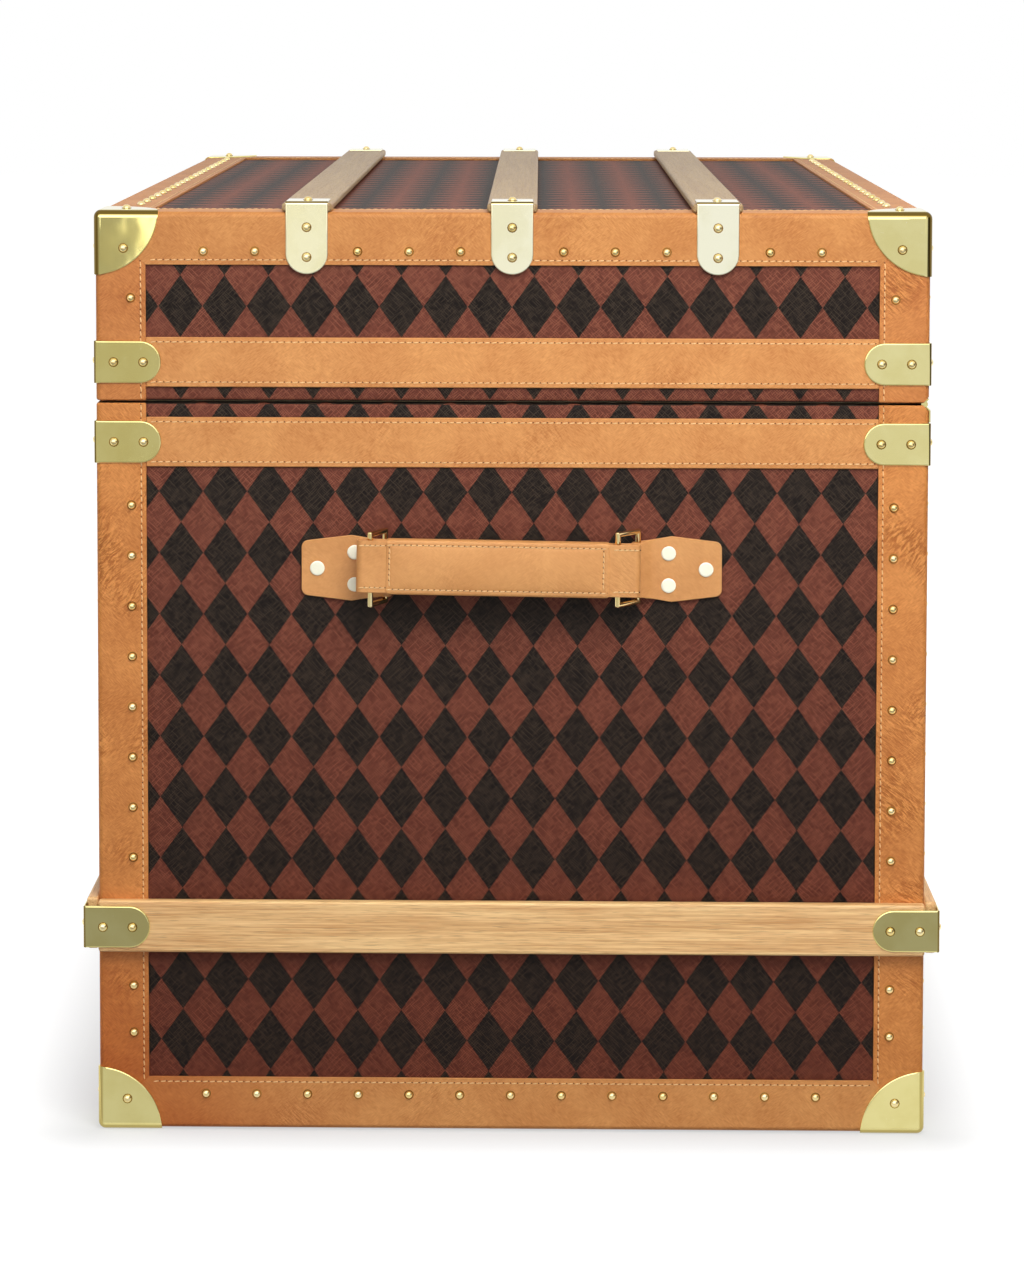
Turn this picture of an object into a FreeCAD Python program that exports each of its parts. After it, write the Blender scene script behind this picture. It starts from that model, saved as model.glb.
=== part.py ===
"""Lidded travel trunk: boarded carcass in canvas, leather edging, oak slats and brass fittings.

X runs along the length, the front with its hasps faces -Y, the hinge is at +Y, and Z is up.
The origin is on the floor, under the middle of the trunk. All sizes are millimetres.
"""
import FreeCAD, Part
import math
import os

import Sketcher
from FreeCAD import Placement, Rotation, Vector

doc = FreeCAD.newDocument("travel_trunk")
sheet = doc.addObject("Spreadsheet::Sheet", "sizes")

SIZES = (
    ("trunk_length", 800, "over the leather, along X"),
    ("trunk_width", 550, "over the leather, along Y"),
    ("trunk_height", 616, "floor to the leather on the lid"),
    ("lid_height", 126, "seam to the top"),
    ("seam_gap", 1.6, "between lid and body"),
    ("board", 9, "carcass boards"),
    ("canvas", 0.8, "outer covering"),
    ("leather", 1.8, "edging and bands"),
    ("lining", 1.2, "inner covering"),
    ("edging_width", 35, "leather strip on each side of an edge"),
    ("edge_round", 3.8, "rounding of the leather edges and corners"),
    ("band_height", 33, "leather bands beside the seam"),
    ("band_offset", 10, "canvas left between seam and band"),
    ("lip_thickness", 6, "closing lip round the mouth"),
    ("lip_rise", 10, "lip above the seam"),
    ("lip_depth", 24, "lip below the seam"),
    ("lip_clearance", 1, "lip to lid lining"),
    ("brass", 1.2, "brass sheet"),
    ("brass_bend", 2, "outer bend of clamps, plates and straps"),
    ("cap_reach", 43, "corner cap along each edge"),
    ("clamp_height", 28, "corner clamps and belt plates"),
    ("clamp_reach", 44.5, "corner clamps and belt plates, each leg"),
    ("clamp_rivet_near", 13.2, "first rivet from the corner"),
    ("clamp_rivet_far", 32.8, "second rivet from the corner"),
    ("cap_rivet_inset", 20, "cap rivets from the upright edge"),
    ("cap_rivet_up", 21.5, "rivets of the base caps above the floor"),
    ("cap_rivet_down", 24, "rivets of the lid caps below the leather"),
    ("belt_height", 140, "middle of the belt slats"),
    ("belt_width", 34.8, "belt slats, top to bottom"),
    ("belt_thickness", 8, "belt slats"),
    ("belt_gap", 0.5, "belt slats short of the corner"),
    ("slat_width", 33, "slats on the lid"),
    ("slat_thickness", 6, "slats on the lid"),
    ("slat_spacing", 135.3, "between the slats on the lid"),
    ("slat_round", 2.2, "rounded slat edges"),
    ("tip_width", 28, "brass strap over a slat end"),
    ("tip_drop", 41, "strap below the leather of the lid"),
    ("tip_reach", 30, "strap along the slat"),
    ("tip_rivet_high", 10, "first rivet of the strap below the leather"),
    ("tip_rivet_low", 29.7, "second rivet of the strap below the leather"),
    ("tip_rivet_back", 14, "rivet on the slat from the end"),
    ("rivet_radius", 3.3, "dome heads"),
    ("rivet_rise", 1.7, "dome heads"),
    ("hinge_inset", 3, "hinge axis inside the back of the leather"),
    ("hinge_angle", 47, "half of the notch round the hinge"),
    ("hinge_leaf", 1, "leaf thickness"),
    ("hinge_apron", 7.8, "flat of the body leaf"),
    ("hinge_seat", 8, "flat of the lid leaf in the seam"),
    ("leaf_gap", 0.2, "behind the hinge leaves"),
    ("notch_past", 4, "notch beyond the leather"),
    ("knuckle_radius", 2.2, "hinge knuckles"),
    ("hinge_end", 2, "hinge short of the leather at each end"),
    ("knuckle_pairs", 10, "knuckles on each leaf"),
    ("knuckle_gap", 0.4, "round a knuckle of the other leaf"),
    ("pin_radius", 1.2, "hinge pins"),
    ("pin_clearance", 0.05, "radial, pin in knuckle"),
    ("hasp_spacing", 240, "side hasps from the middle"),
    ("hasp_axis", 16, "hasp hinge above the seam"),
    ("hasp_stand", 6.6, "hasp hinge in front of the leather"),
    ("hasp_width", 24, "hasp strap"),
    ("hasp_thickness", 2.4, "hasp strap"),
    ("hasp_length", 62, "hinge axis to the tip"),
    ("hasp_neck", 7, "narrow part under the knuckle"),
    ("hasp_knuckle", 16, "middle knuckle, end to end"),
    ("hasp_side_knuckle", 5.7, "knuckles on the lid plate"),
    ("hasp_ajar", 8, "degrees off the catch"),
    ("bracket_foot", 3.5, "bracket plate above the hasp axis"),
    ("bracket_margin", 2, "bracket plate below the band's edge"),
    ("bracket_rivet_rise", 16, "bracket rivets above the hasp axis"),
    ("bracket_rivet_spread", 10, "bracket rivets from the middle"),
    ("arm_low", 0.6, "foot of the bracket arms above the hasp axis"),
    ("arm_high", 4.6, "head of the bracket arms above the hasp axis"),
    ("fitting_round", 4, "corners of brackets and cases"),
    ("tooth_drop", 50, "hinge axis to the tooth"),
    ("tooth_height", 8, "tooth on the hasp"),
    ("tooth_width", 6, "tooth on the hasp"),
    ("tooth_reach", 5.4, "tooth behind the strap"),
    ("tooth_end", 1, "tooth beyond its eye"),
    ("eye_clearance", 0.3, "round the bolt in the eye"),
    ("case_depth", 6, "catch cases"),
    ("case_wall", 1.2, "catch cases"),
    ("case_top", 9, "catch cases below the seam"),
    ("case_width", 48, "middle case"),
    ("case_height", 57, "middle case"),
    ("side_case_width", 34, "side cases"),
    ("side_case_height", 33, "side cases"),
    ("slot_clearance", 0.6, "beside the tooth"),
    ("slot_below", 1.4, "under the tooth"),
    ("slot_above", 1.8, "over the tooth"),
    ("room_above", 7, "room in a case over the tooth's middle"),
    ("room_below", 6.6, "room in a side case under the tooth's middle"),
    ("room_side", 5, "half the room in a side case"),
    ("lock_room_left", 8, "room in the middle case"),
    ("lock_room_right", 16, "room in the middle case, bolt side"),
    ("lock_room_below", 8, "room under the key cylinder's middle"),
    ("packer_inset", 4, "packer behind the middle case"),
    ("packer_lap", 0.5, "packer into the case, and clear of the band"),
    ("cylinder_radius", 6, "key cylinder"),
    ("cylinder_drop", 68, "hasp hinge axis to the key cylinder"),
    ("cylinder_proud", 2, "key cylinder in front of the case"),
    ("cylinder_behind", 1, "key cylinder to the leather"),
    ("key_slot_width", 1.8, "keyway"),
    ("key_slot_height", 6.4, "keyway"),
    ("key_slot_depth", 3, "keyway"),
    ("bolt_height", 2.2, "lock bolt"),
    ("bolt_thickness", 1.6, "lock bolt"),
    ("bolt_travel", 8, "lock bolt"),
    ("bolt_rest", 1.4, "drawn bolt to the tooth"),
    ("bolt_tail", 1, "bolt beyond its travel"),
    ("bolt_leg", 10, "leg of the bolt below the tooth's middle"),
    ("bolt_leg_start", 4, "leg from the end of the bolt"),
    ("handle_drop", 110, "seam to the middle of the handle's anchor leathers"),
    ("anchor_tip", 139, "outer end from the middle"),
    ("anchor_shoulder", 106, "widest place from the middle"),
    ("anchor_thickness", 3, "anchor leather"),
    ("anchor_tip_height", 35.6, "at the outer end"),
    ("anchor_height", 43.6, "at the shoulder"),
    ("anchor_loop_height", 36, "round the ring"),
    ("anchor_round", 4, "outer corners"),
    ("ring_bar", 1.7, "radius of the ring's upright bars"),
    ("ring_place", 83.5, "anchored bar from the middle"),
    ("ring_width", 20, "between the bars"),
    ("ring_height", 50, "over the arms"),
    ("ring_arm", 4.5, "arm height"),
    ("ring_rise", 2.2, "ring above the anchor leather"),
    ("ring_play", 0.3, "bar in the anchor loop"),
    ("loop_leather", 2.2, "leather round a bar"),
    ("taut_lean", 26.7, "degrees, taut ring past square"),
    ("slack_lean", 42.6, "degrees, slack ring off square"),
    ("grip_height", 34.5, "loops at the grip's ends"),
    ("pad_height", 36.3, "padded middle"),
    ("pad_behind", 0.4, "padded middle behind the loops"),
    ("pad_before", 0.8, "padded middle in front of the loops"),
    ("grip_leather", 2, "grip loops"),
    ("grip_play", 1, "bar in the grip loop, across"),
    ("grip_rise", 3.4, "grip above the anchor leathers"),
    ("grip_roll", 1, "degrees, taut end higher"),
    ("grip_taut_end", 9.2, "loop end beyond the taut bar"),
    ("grip_slack_end", 15, "loop end beyond the slack bar"),
    ("loop_length", 19, "plain loop on the taut ring"),
    ("slack_loop_length", 20, "plain loop on the slack ring"),
    ("loop_end", 2.4, "leather round the end of a loop"),
    ("loop_root", 1.5, "leather between loop and padding"),
    ("strap_rivet_radius", 4.9, "flat rivets of the anchors"),
    ("strap_rivet_rise", 0.8, "flat rivets of the anchors"),
    ("strap_rivet_bevel", 0.5, "sloping rim of the flat rivets"),
    ("strap_rivet_outer", 128.5, "single rivet from the middle"),
    ("strap_rivet_inner", 103.8, "pair of rivets from the middle"),
    ("strap_rivet_spread", 10.7, "pair of rivets above and below"),
    ("tray_height", 84, "lift-out tray"),
    ("tray_below_seam", 14, "tray rim below the seam"),
    ("tray_clearance", 2, "tray to closing lip"),
    ("tray_wall", 6, "tray walls"),
    ("tray_floor", 5, "tray floor"),
    ("ledge_size", 12, "tray ledges"),
    ("ledge_inset", 4, "tray ledges short of the lining"),
    ("pull_width", 60, "tray pulls"),
    ("pull_height", 42, "tray pulls"),
    ("pull_rise", 22, "tray pulls above the rim"),
    ("pull_strap", 8, "tray pulls"),
    ("pull_thickness", 3, "tray pulls"),
    ("pull_round", 12, "corners of the tray pulls"),
    ("overrun", 1, "cutting tools beyond what they cut"),
    ("round_spare", 0.1, "flat left on a full round"),
)
for row, (alias, value, meaning) in enumerate(SIZES, 1):
    sheet.set(f"A{row}", alias)
    sheet.set(f"B{row}", str(value))
    sheet.set(f"C{row}", meaning)
    sheet.setAlias(f"B{row}", alias)
doc.recompute()

# Places that several pieces share, as expressions of the sheet.
HALF_L = "(sizes.trunk_length / 2)"
HALF_W = "(sizes.trunk_width / 2)"
BASE = "sizes.brass"
TOP = "sizes.trunk_height"
SEAM = "(sizes.trunk_height - sizes.lid_height)"
BODY_TOP = f"({SEAM} - sizes.seam_gap / 2)"
LID_BOTTOM = f"({SEAM} + sizes.seam_gap / 2)"
CANVAS_X = f"({HALF_L} - sizes.leather)"
CANVAS_Y = f"({HALF_W} - sizes.leather)"
CANVAS_BASE = f"({BASE} + sizes.leather)"
CANVAS_TOP = f"({TOP} - sizes.leather)"
BOARD_X = f"({CANVAS_X} - sizes.canvas)"
BOARD_Y = f"({CANVAS_Y} - sizes.canvas)"
BOARD_BASE = f"({CANVAS_BASE} + sizes.canvas)"
BOARD_TOP = f"({CANVAS_TOP} - sizes.canvas)"
BOARD_BODY_TOP = f"({BODY_TOP} - sizes.canvas)"
BOARD_LID_BOTTOM = f"({LID_BOTTOM} + sizes.canvas)"
INNER_X = f"({BOARD_X} - sizes.board)"
INNER_Y = f"({BOARD_Y} - sizes.board)"
INNER_BASE = f"({BOARD_BASE} + sizes.board)"
INNER_TOP = f"({BOARD_TOP} - sizes.board)"
LINED_X = f"({INNER_X} - sizes.lining)"
LINED_Y = f"({INNER_Y} - sizes.lining)"
HINGE_Y = f"({HALF_W} - sizes.hinge_inset)"
HINGE_LENGTH = "(sizes.trunk_length - 2 * sizes.hinge_end)"
KNUCKLE = f"({HINGE_LENGTH} / (2 * sizes.knuckle_pairs))"
HASP_Y = f"(-{HALF_W} - sizes.hasp_stand)"
HASP_Z = f"({SEAM} + sizes.hasp_axis)"
HANDLE_Z = f"({SEAM} - sizes.handle_drop)"
BAR_X = f"({CANVAS_X} + sizes.loop_leather + sizes.ring_play + sizes.ring_bar)"

nodes = []


def size(expression):
    """The number that an expression of the sheet comes to."""
    return float(sheet.evalExpression(expression))


def node(thing, label):
    """Name a finished piece and list it for export."""
    thing.Label = label
    nodes.append(thing)
    return thing


# ---------------------------------------------------------------- Part building blocks

def block(label, low, high):
    """A box between two corners, each given as three expressions."""
    box = doc.addObject("Part::Box", label)
    for side, start, end in zip(("Length", "Width", "Height"), low, high):
        box.setExpression(side, f"({end}) - ({start})")
    for axis, start in zip("xyz", low):
        box.setExpression(f"Placement.Base.{axis}", start)
    return box


def fuse(label, pieces):
    joined = doc.addObject("Part::MultiFuse", label)
    joined.Shapes = pieces
    joined.Refine = True
    return joined


def cut(label, base, tool):
    rest = doc.addObject("Part::Cut", label)
    rest.Base = base
    rest.Tool = tool
    return rest


def mirror(label, source, normal):
    image = doc.addObject("Part::Mirroring", label)
    image.Source = source
    image.Normal = normal
    return image


def group(label, pieces):
    """One node of several separate solids."""
    bundle = doc.addObject("Part::Compound", label)
    bundle.Links = pieces
    return bundle


def frame(label, outer_x, outer_y, inner_x, inner_y, low, high):
    """A rectangular ring about the Z axis."""
    outside = block(label + "_outside", (f"-{outer_x}", f"-{outer_y}", low), (outer_x, outer_y, high))
    inside = block(label + "_inside", (f"-{inner_x}", f"-{inner_y}", low), (inner_x, inner_y, high))
    return cut(label, outside, inside)


def both_ends(label, source):
    """The piece and its image at the other end of the trunk."""
    return [source, mirror(label + "_far", source, Vector(1, 0, 0))]


def both_sides(label, source):
    """The piece and its image at the other long side."""
    return [source, mirror(label + "_front", source, Vector(0, 1, 0))]


def four_corners(label, source):
    """The piece at all four upright edges."""
    pieces = both_ends(label, source)
    for number, piece in enumerate(list(pieces)):
        pieces.append(mirror(f"{label}_front_{number}", piece, Vector(0, 1, 0)))
    return pieces


def half_turn(label, source):
    """The piece turned half round about Z, as the fitting at the other end is."""
    return mirror(label, mirror(label + "_across", source, Vector(1, 0, 0)), Vector(0, 1, 0))


# ---------------------------------------------------------------- PartDesign building blocks

PLANE_NORMAL = {"XY": 1, "XZ": -1, "YZ": 1}


def new_body(label):
    return doc.addObject("PartDesign::Body", label)


def origin_feature(body, role):
    return next(feature for feature in body.Origin.OriginFeatures if feature.Role == role)


def outline(body, label, plane, place, corners, start=("0", "0")):
    """A closed polygon whose corners are all tied to the sheet."""
    sketch = body.newObject("Sketcher::SketchObject", label)
    sketch.AttachmentSupport = [(origin_feature(body, plane + "_Plane"), "")]
    sketch.MapMode = "FlatFace"
    sketch.setExpression("AttachmentOffset.Base.x", start[0])
    sketch.setExpression("AttachmentOffset.Base.y", start[1])
    sketch.setExpression("AttachmentOffset.Base.z", f"{PLANE_NORMAL[plane]} * ({place})")
    ties = [(f"({u}) - ({start[0]})", f"({v}) - ({start[1]})") for u, v in corners]
    points = [Vector(size(u), size(v), 0) for u, v in ties]
    for number, point in enumerate(points):
        sketch.addGeometry(Part.LineSegment(point, points[(number + 1) % len(points)]), False)
    for number, (tie, point) in enumerate(zip(ties, points)):
        following = (number + 1) % len(points)
        sketch.addConstraint(Sketcher.Constraint("Coincident", number, 2, following, 1))
        for kind, axis, expression, value in (("DistanceX", -2, tie[0], point.x),
                                              ("DistanceY", -1, tie[1], point.y)):
            if abs(value) < 1e-6:
                sketch.addConstraint(Sketcher.Constraint("PointOnObject", number, 1, axis))
                continue
            index = sketch.addConstraint(Sketcher.Constraint(kind, -1, 1, number, 1, value))
            sketch.setExpression(f"Constraints[{index}]", expression)
    return sketch


def pad(body, label, sketch, length, backwards=False):
    solid = body.newObject("PartDesign::Pad", label)
    solid.Profile = sketch
    solid.setExpression("Length", length)
    solid.Reversed = backwards
    body.Tip = solid
    return solid


def round_edges(body, label, chosen, radius):
    """Round the edges of the body's tip for which chosen(edge) is true."""
    doc.recompute()
    base = body.Tip
    names = [f"Edge{number}" for number, edge in enumerate(base.Shape.Edges, 1) if chosen(edge)]
    if not names:
        raise RuntimeError(f"{label}: no edge to round")
    fillet = body.newObject("PartDesign::Fillet", label)
    fillet.Base = (base, names)
    fillet.setExpression("Radius", radius)
    body.Tip = fillet
    return fillet


def runs_along(edge, direction):
    """True for a straight edge parallel to a direction."""
    if edge.Degenerated or edge.Curve.TypeId != "Part::GeomLine":
        return False
    return abs(abs(edge.tangentAt(edge.FirstParameter).dot(direction)) - 1) < 1e-6


def passes(edge, **coordinates):
    """True for an edge whose middle has the given coordinates."""
    middle = edge.BoundBox.Center
    return all(abs(getattr(middle, axis) - value) < 0.01 for axis, value in coordinates.items())


def prism(body, label, low, high, remove=False):
    """An additive or subtractive box between two corners."""
    kind = "PartDesign::SubtractiveBox" if remove else "PartDesign::AdditiveBox"
    box = body.newObject(kind, label)
    for side, start, end in zip(("Length", "Width", "Height"), low, high):
        box.setExpression(side, f"({end}) - ({start})")
    for axis, start in zip("xyz", low):
        box.setExpression(f"Placement.Base.{axis}", start)
    body.Tip = box
    return box


TO_X = Rotation(Vector(0, 1, 0), 90)
TO_Y = Rotation(Vector(1, 0, 0), -90)
UPRIGHT = Rotation()


def rod(body, label, radius, height, base, turn=UPRIGHT, remove=False):
    """An additive or subtractive cylinder from a base point, along the turned Z axis."""
    kind = "PartDesign::SubtractiveCylinder" if remove else "PartDesign::AdditiveCylinder"
    cylinder = body.newObject(kind, label)
    cylinder.setExpression("Radius", radius)
    cylinder.setExpression("Height", height)
    cylinder.Placement = Placement(Vector(), turn)
    for axis, start in zip("xyz", base):
        cylinder.setExpression(f"Placement.Base.{axis}", start)
    body.Tip = cylinder
    return cylinder


# ---------------------------------------------------------------- notch for the hinge

def hinge_notch():
    """The space that the piano hinge takes out of the edges it lies in."""
    body = new_body("hinge_notch")
    rest = "(sizes.hinge_leaf + sizes.leaf_gap)"
    depth = f"({HALF_W} + sizes.notch_past - {HINGE_Y})"
    back = f"({HINGE_Y} - {rest} / sin(sizes.hinge_angle))"
    open_half = f"(({HALF_W} + sizes.notch_past - {back}) * tan(sizes.hinge_angle))"
    start = f"(-{HALF_L} - sizes.overrun)"
    sketch = outline(body, "notch_outline", "YZ", start,
                     [(back, SEAM), (f"{HINGE_Y} + {depth}", f"{SEAM} - {open_half}"),
                      (f"{HINGE_Y} + {depth}", f"{SEAM} + {open_half}")])
    through = "sizes.trunk_length + 2 * sizes.overrun"
    pad(body, "notch_pad", sketch, through)
    rod(body, "notch_round", "sizes.knuckle_radius + sizes.knuckle_gap", through,
        (start, HINGE_Y, SEAM), TO_X)
    return body


# ---------------------------------------------------------------- carcass

def body_boards():
    notch = hinge_notch()
    walls = (BOARD_BASE, BOARD_BODY_TOP)
    front = block("front_board", (f"-{BOARD_X}", f"-{BOARD_Y}", walls[0]), (BOARD_X, f"-{INNER_Y}", walls[1]))
    node(front, "body_front_panel")
    back = block("back_board", (f"-{BOARD_X}", INNER_Y, walls[0]), (BOARD_X, BOARD_Y, walls[1]))
    node(cut("back_board_notched", back, notch), "body_back_panel")
    end = block("end_board", (INNER_X, f"-{INNER_Y}", walls[0]), (BOARD_X, INNER_Y, walls[1]))
    node(group("end_boards", both_ends("end_board", end)), "body_end_panels")
    floor = block("floor_board", (f"-{INNER_X}", f"-{INNER_Y}", BOARD_BASE), (INNER_X, INNER_Y, INNER_BASE))
    node(floor, "body_bottom_panel")
    return notch


def lid_boards(notch):
    low = BOARD_LID_BOTTOM
    seat_back = f"{HINGE_Y} - sizes.hinge_seat - sizes.leaf_gap"
    seat = block("leaf_seat", (f"-{HALF_L}", seat_back, f"{LID_BOTTOM} - sizes.overrun"),
                 (HALF_L, f"{HALF_W} + sizes.overrun", f"{LID_BOTTOM} + sizes.hinge_leaf"))
    tool = fuse("lid_notch", [notch, seat])
    top = block("top_board", (f"-{BOARD_X}", f"-{BOARD_Y}", INNER_TOP), (BOARD_X, BOARD_Y, BOARD_TOP))
    node(top, "lid_top_panel")
    front = block("lid_front_board", (f"-{BOARD_X}", f"-{BOARD_Y}", low), (BOARD_X, f"-{INNER_Y}", INNER_TOP))
    node(front, "lid_front_panel")
    back = block("lid_back_board", (f"-{BOARD_X}", INNER_Y, low), (BOARD_X, BOARD_Y, INNER_TOP))
    node(cut("lid_back_notched", back, tool), "lid_back_panel")
    end = block("lid_end_board", (INNER_X, f"-{INNER_Y}", low), (BOARD_X, INNER_Y, INNER_TOP))
    node(group("lid_end_boards", both_ends("lid_end_board", end)), "lid_end_panels")
    return tool


def body_covering(notch):
    """Canvas outside, turned in over the mouth, and lining inside."""
    skin = frame("canvas_walls", CANVAS_X, CANVAS_Y, BOARD_X, BOARD_Y, CANVAS_BASE, BODY_TOP)
    hem = frame("canvas_hem", BOARD_X, BOARD_Y, INNER_X, INNER_Y, BOARD_BODY_TOP, BODY_TOP)
    under = block("canvas_floor", (f"-{BOARD_X}", f"-{BOARD_Y}", CANVAS_BASE), (BOARD_X, BOARD_Y, BOARD_BASE))
    node(cut("canvas_cut", fuse("canvas_whole", [skin, hem, under]), notch), "body_canvas")
    walls = frame("lining_walls", INNER_X, INNER_Y, LINED_X, LINED_Y, INNER_BASE, BODY_TOP)
    floor = block("lining_floor", (f"-{LINED_X}", f"-{LINED_Y}", INNER_BASE),
                  (LINED_X, LINED_Y, f"{INNER_BASE} + sizes.lining"))
    node(fuse("lining_whole", [walls, floor]), "body_lining")


def lid_covering(tool):
    skin = frame("lid_canvas_walls", CANVAS_X, CANVAS_Y, BOARD_X, BOARD_Y, LID_BOTTOM, CANVAS_TOP)
    hem = frame("lid_canvas_hem", BOARD_X, BOARD_Y, INNER_X, INNER_Y, LID_BOTTOM, BOARD_LID_BOTTOM)
    over = block("lid_canvas_top", (f"-{BOARD_X}", f"-{BOARD_Y}", BOARD_TOP), (BOARD_X, BOARD_Y, CANVAS_TOP))
    node(cut("lid_canvas_cut", fuse("lid_canvas_whole", [skin, hem, over]), tool), "lid_canvas")
    walls = frame("lid_lining_walls", INNER_X, INNER_Y, LINED_X, LINED_Y, LID_BOTTOM, INNER_TOP)
    ceiling = block("lid_lining_top", (f"-{LINED_X}", f"-{LINED_Y}", f"{INNER_TOP} - sizes.lining"),
                    (LINED_X, LINED_Y, INNER_TOP))
    node(fuse("lid_lining_whole", [walls, ceiling]), "lid_lining")


def closing_lip():
    """Four wooden strips round the mouth, set back above the seam so that the lid passes them."""
    inner_x = f"({LINED_X} - sizes.lip_thickness)"
    inner_y = f"({LINED_Y} - sizes.lip_thickness)"
    low, high = f"{SEAM} - sizes.lip_depth", f"{SEAM} + sizes.lip_rise"
    back = fuse("lip_back", [
        block("lip_back_lower", (f"-{LINED_X}", inner_y, low), (LINED_X, LINED_Y, BODY_TOP)),
        block("lip_back_upper", (f"-{LINED_X} + sizes.lip_clearance", inner_y, BODY_TOP),
              (f"{LINED_X} - sizes.lip_clearance", f"{LINED_Y} - sizes.lip_clearance", high))])
    end = fuse("lip_end", [
        block("lip_end_lower", (inner_x, f"-{inner_y}", low), (LINED_X, inner_y, BODY_TOP)),
        block("lip_end_upper", (inner_x, f"-{inner_y}", BODY_TOP),
              (f"{LINED_X} - sizes.lip_clearance", inner_y, high))])
    node(group("lip_strips", both_sides("lip_back", back) + both_ends("lip_end", end)), "closing_lip")


# ---------------------------------------------------------------- leather

def rounded_block():
    """The whole trunk over its leather, with all edges and corners rounded."""
    body = new_body("rounded_block")
    prism(body, "rounded_block_box", (f"-{HALF_L}", f"-{HALF_W}", BASE), (HALF_L, HALF_W, TOP))
    round_edges(body, "rounded_block_edges", lambda edge: True, "sizes.edge_round")
    return body


def angle_bar(label, plane, place, length, corner, arms):
    """Leather angle of constant section."""
    body = new_body(label)
    (u, v), (toward_u, toward_v) = corner, arms
    wide, thick = "sizes.edging_width", "sizes.leather"
    sketch = outline(body, label + "_outline", plane, place,
                     [(u, v), (f"{u} + {toward_u} * {wide}", v),
                      (f"{u} + {toward_u} * {wide}", f"{v} + {toward_v} * {thick}"),
                      (f"{u} + {toward_u} * {thick}", f"{v} + {toward_v} * {thick}"),
                      (f"{u} + {toward_u} * {thick}", f"{v} + {toward_v} * {wide}"),
                      (u, f"{v} + {toward_v} * {wide}")])
    pad(body, label + "_pad", sketch, length)
    return body


def mitre(label, plane, outer, corners, backwards, start=("0", "0")):
    """The prism that a strip is cut to, seen square to one of its faces."""
    body = new_body(label)
    pad(body, label + "_pad", outline(body, label + "_outline", plane, outer, corners, start),
        "sizes.edging_width", backwards)
    return body


def common(label, pieces):
    shared = doc.addObject("Part::MultiCommon", label)
    shared.Shapes = pieces
    return shared


def corner_strip(label, low, high, mitre_low, mitre_high, rounding):
    """Upright leather angle at the +X +Y edge, mitred where it meets the strips across."""
    bar = angle_bar(label + "_bar", "XY", low, f"{high} - {low}", (HALF_L, HALF_W), (-1, -1))
    prisms = []
    for plane, outer, half, backwards in (("YZ", HALF_L, HALF_W, True), ("XZ", HALF_W, HALF_L, False)):
        inner, width = f"({half} - sizes.edging_width)", "sizes.edging_width"
        corners = [(half, low), (half, high), (inner, f"{high} - {mitre_high} * {width}"),
                   (inner, f"{low} + {mitre_low} * {width}")]
        prisms.append(mitre(f"{label}_{plane}", plane, outer, corners, backwards))
    return common(label, [bar] + prisms + [rounding])


def cross_strip(label, along, level, upward, rounding):
    """Leather angle along a bottom or top edge, mitred at both ends."""
    half, outer = (HALF_L, HALF_W) if along == "X" else (HALF_W, HALF_L)
    width, origin = "sizes.edging_width", f"(-{half})"
    plane = "YZ" if along == "X" else "XZ"
    place = f"-{half}" if along == "X" else half
    bar = angle_bar(label + "_bar", plane, place, f"2 * {half}", (outer, level), (-1, upward))
    side_plane = "XZ" if along == "X" else "YZ"
    inner = f"{level} + {upward} * {width}"
    corners = [(f"-{half}", level), (half, level), (f"{half} - {width}", inner),
               (f"-{half} + {width}", inner)]
    side = mitre(label + "_side", side_plane, outer, corners, along == "Y", start=(origin, "0"))
    corners = [(f"-{half}", outer), (half, outer), (f"{half} - {width}", f"{outer} - {width}"),
               (f"-{half} + {width}", f"{outer} - {width}")]
    start = (origin, "0")
    if along == "Y":
        corners = [(v, u) for u, v in corners]
        start = ("0", origin)
    flat = mitre(label + "_flat", "XY", level, corners, upward < 0, start)
    return common(label, [bar, side, flat, rounding])


def edging(notch, lid_tool):
    rounding = rounded_block()
    lower = corner_strip("lower_strip", BASE, BODY_TOP, 1, 0, rounding)
    back_pair = both_ends("lower_strip", cut("lower_strip_cut", lower, notch))
    front_pair = both_ends("lower_front_strip", mirror("lower_front", lower, Vector(0, 1, 0)))
    node(group("lower_strips", back_pair + front_pair), "body_corner_edging")
    upper = corner_strip("upper_strip", LID_BOTTOM, TOP, 0, 1, rounding)
    back_pair = both_ends("upper_strip", cut("upper_strip_cut", upper, lid_tool))
    front_pair = both_ends("upper_front_strip", mirror("upper_front", upper, Vector(0, 1, 0)))
    node(group("upper_strips", back_pair + front_pair), "lid_corner_edging")
    for label, level, upward, name in (("base", BASE, 1, "body_base_edging"),
                                       ("top", TOP, -1, "lid_top_edging")):
        long_strip = cross_strip(label + "_long", "X", level, upward, rounding)
        short_strip = cross_strip(label + "_short", "Y", level, upward, rounding)
        pieces = both_sides(label + "_long", long_strip) + both_ends(label + "_short", short_strip)
        node(group(label + "_strips", pieces), name)


def band(label, low, high, name):
    """Flat leather bands between the upright strips, on all four faces."""
    reach_y = f"({HALF_W} - sizes.edging_width)"
    reach_x = f"({HALF_L} - sizes.edging_width)"
    end = block(label + "_end", (CANVAS_X, f"-{reach_y}", low), (HALF_L, reach_y, high))
    side = block(label + "_side", (f"-{reach_x}", CANVAS_Y, low), (reach_x, HALF_W, high))
    node(group(label, both_ends(label + "_end", end) + both_sides(label + "_side", side)), name)


def bands():
    low = f"{SEAM} + sizes.band_offset"
    band("lid_bands", low, f"{low} + sizes.band_height", "lid_band")
    high = f"{SEAM} - sizes.band_offset"
    band("body_bands", f"{high} - sizes.band_height", high, "body_band")


# ---------------------------------------------------------------- brass sheet fittings

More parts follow.
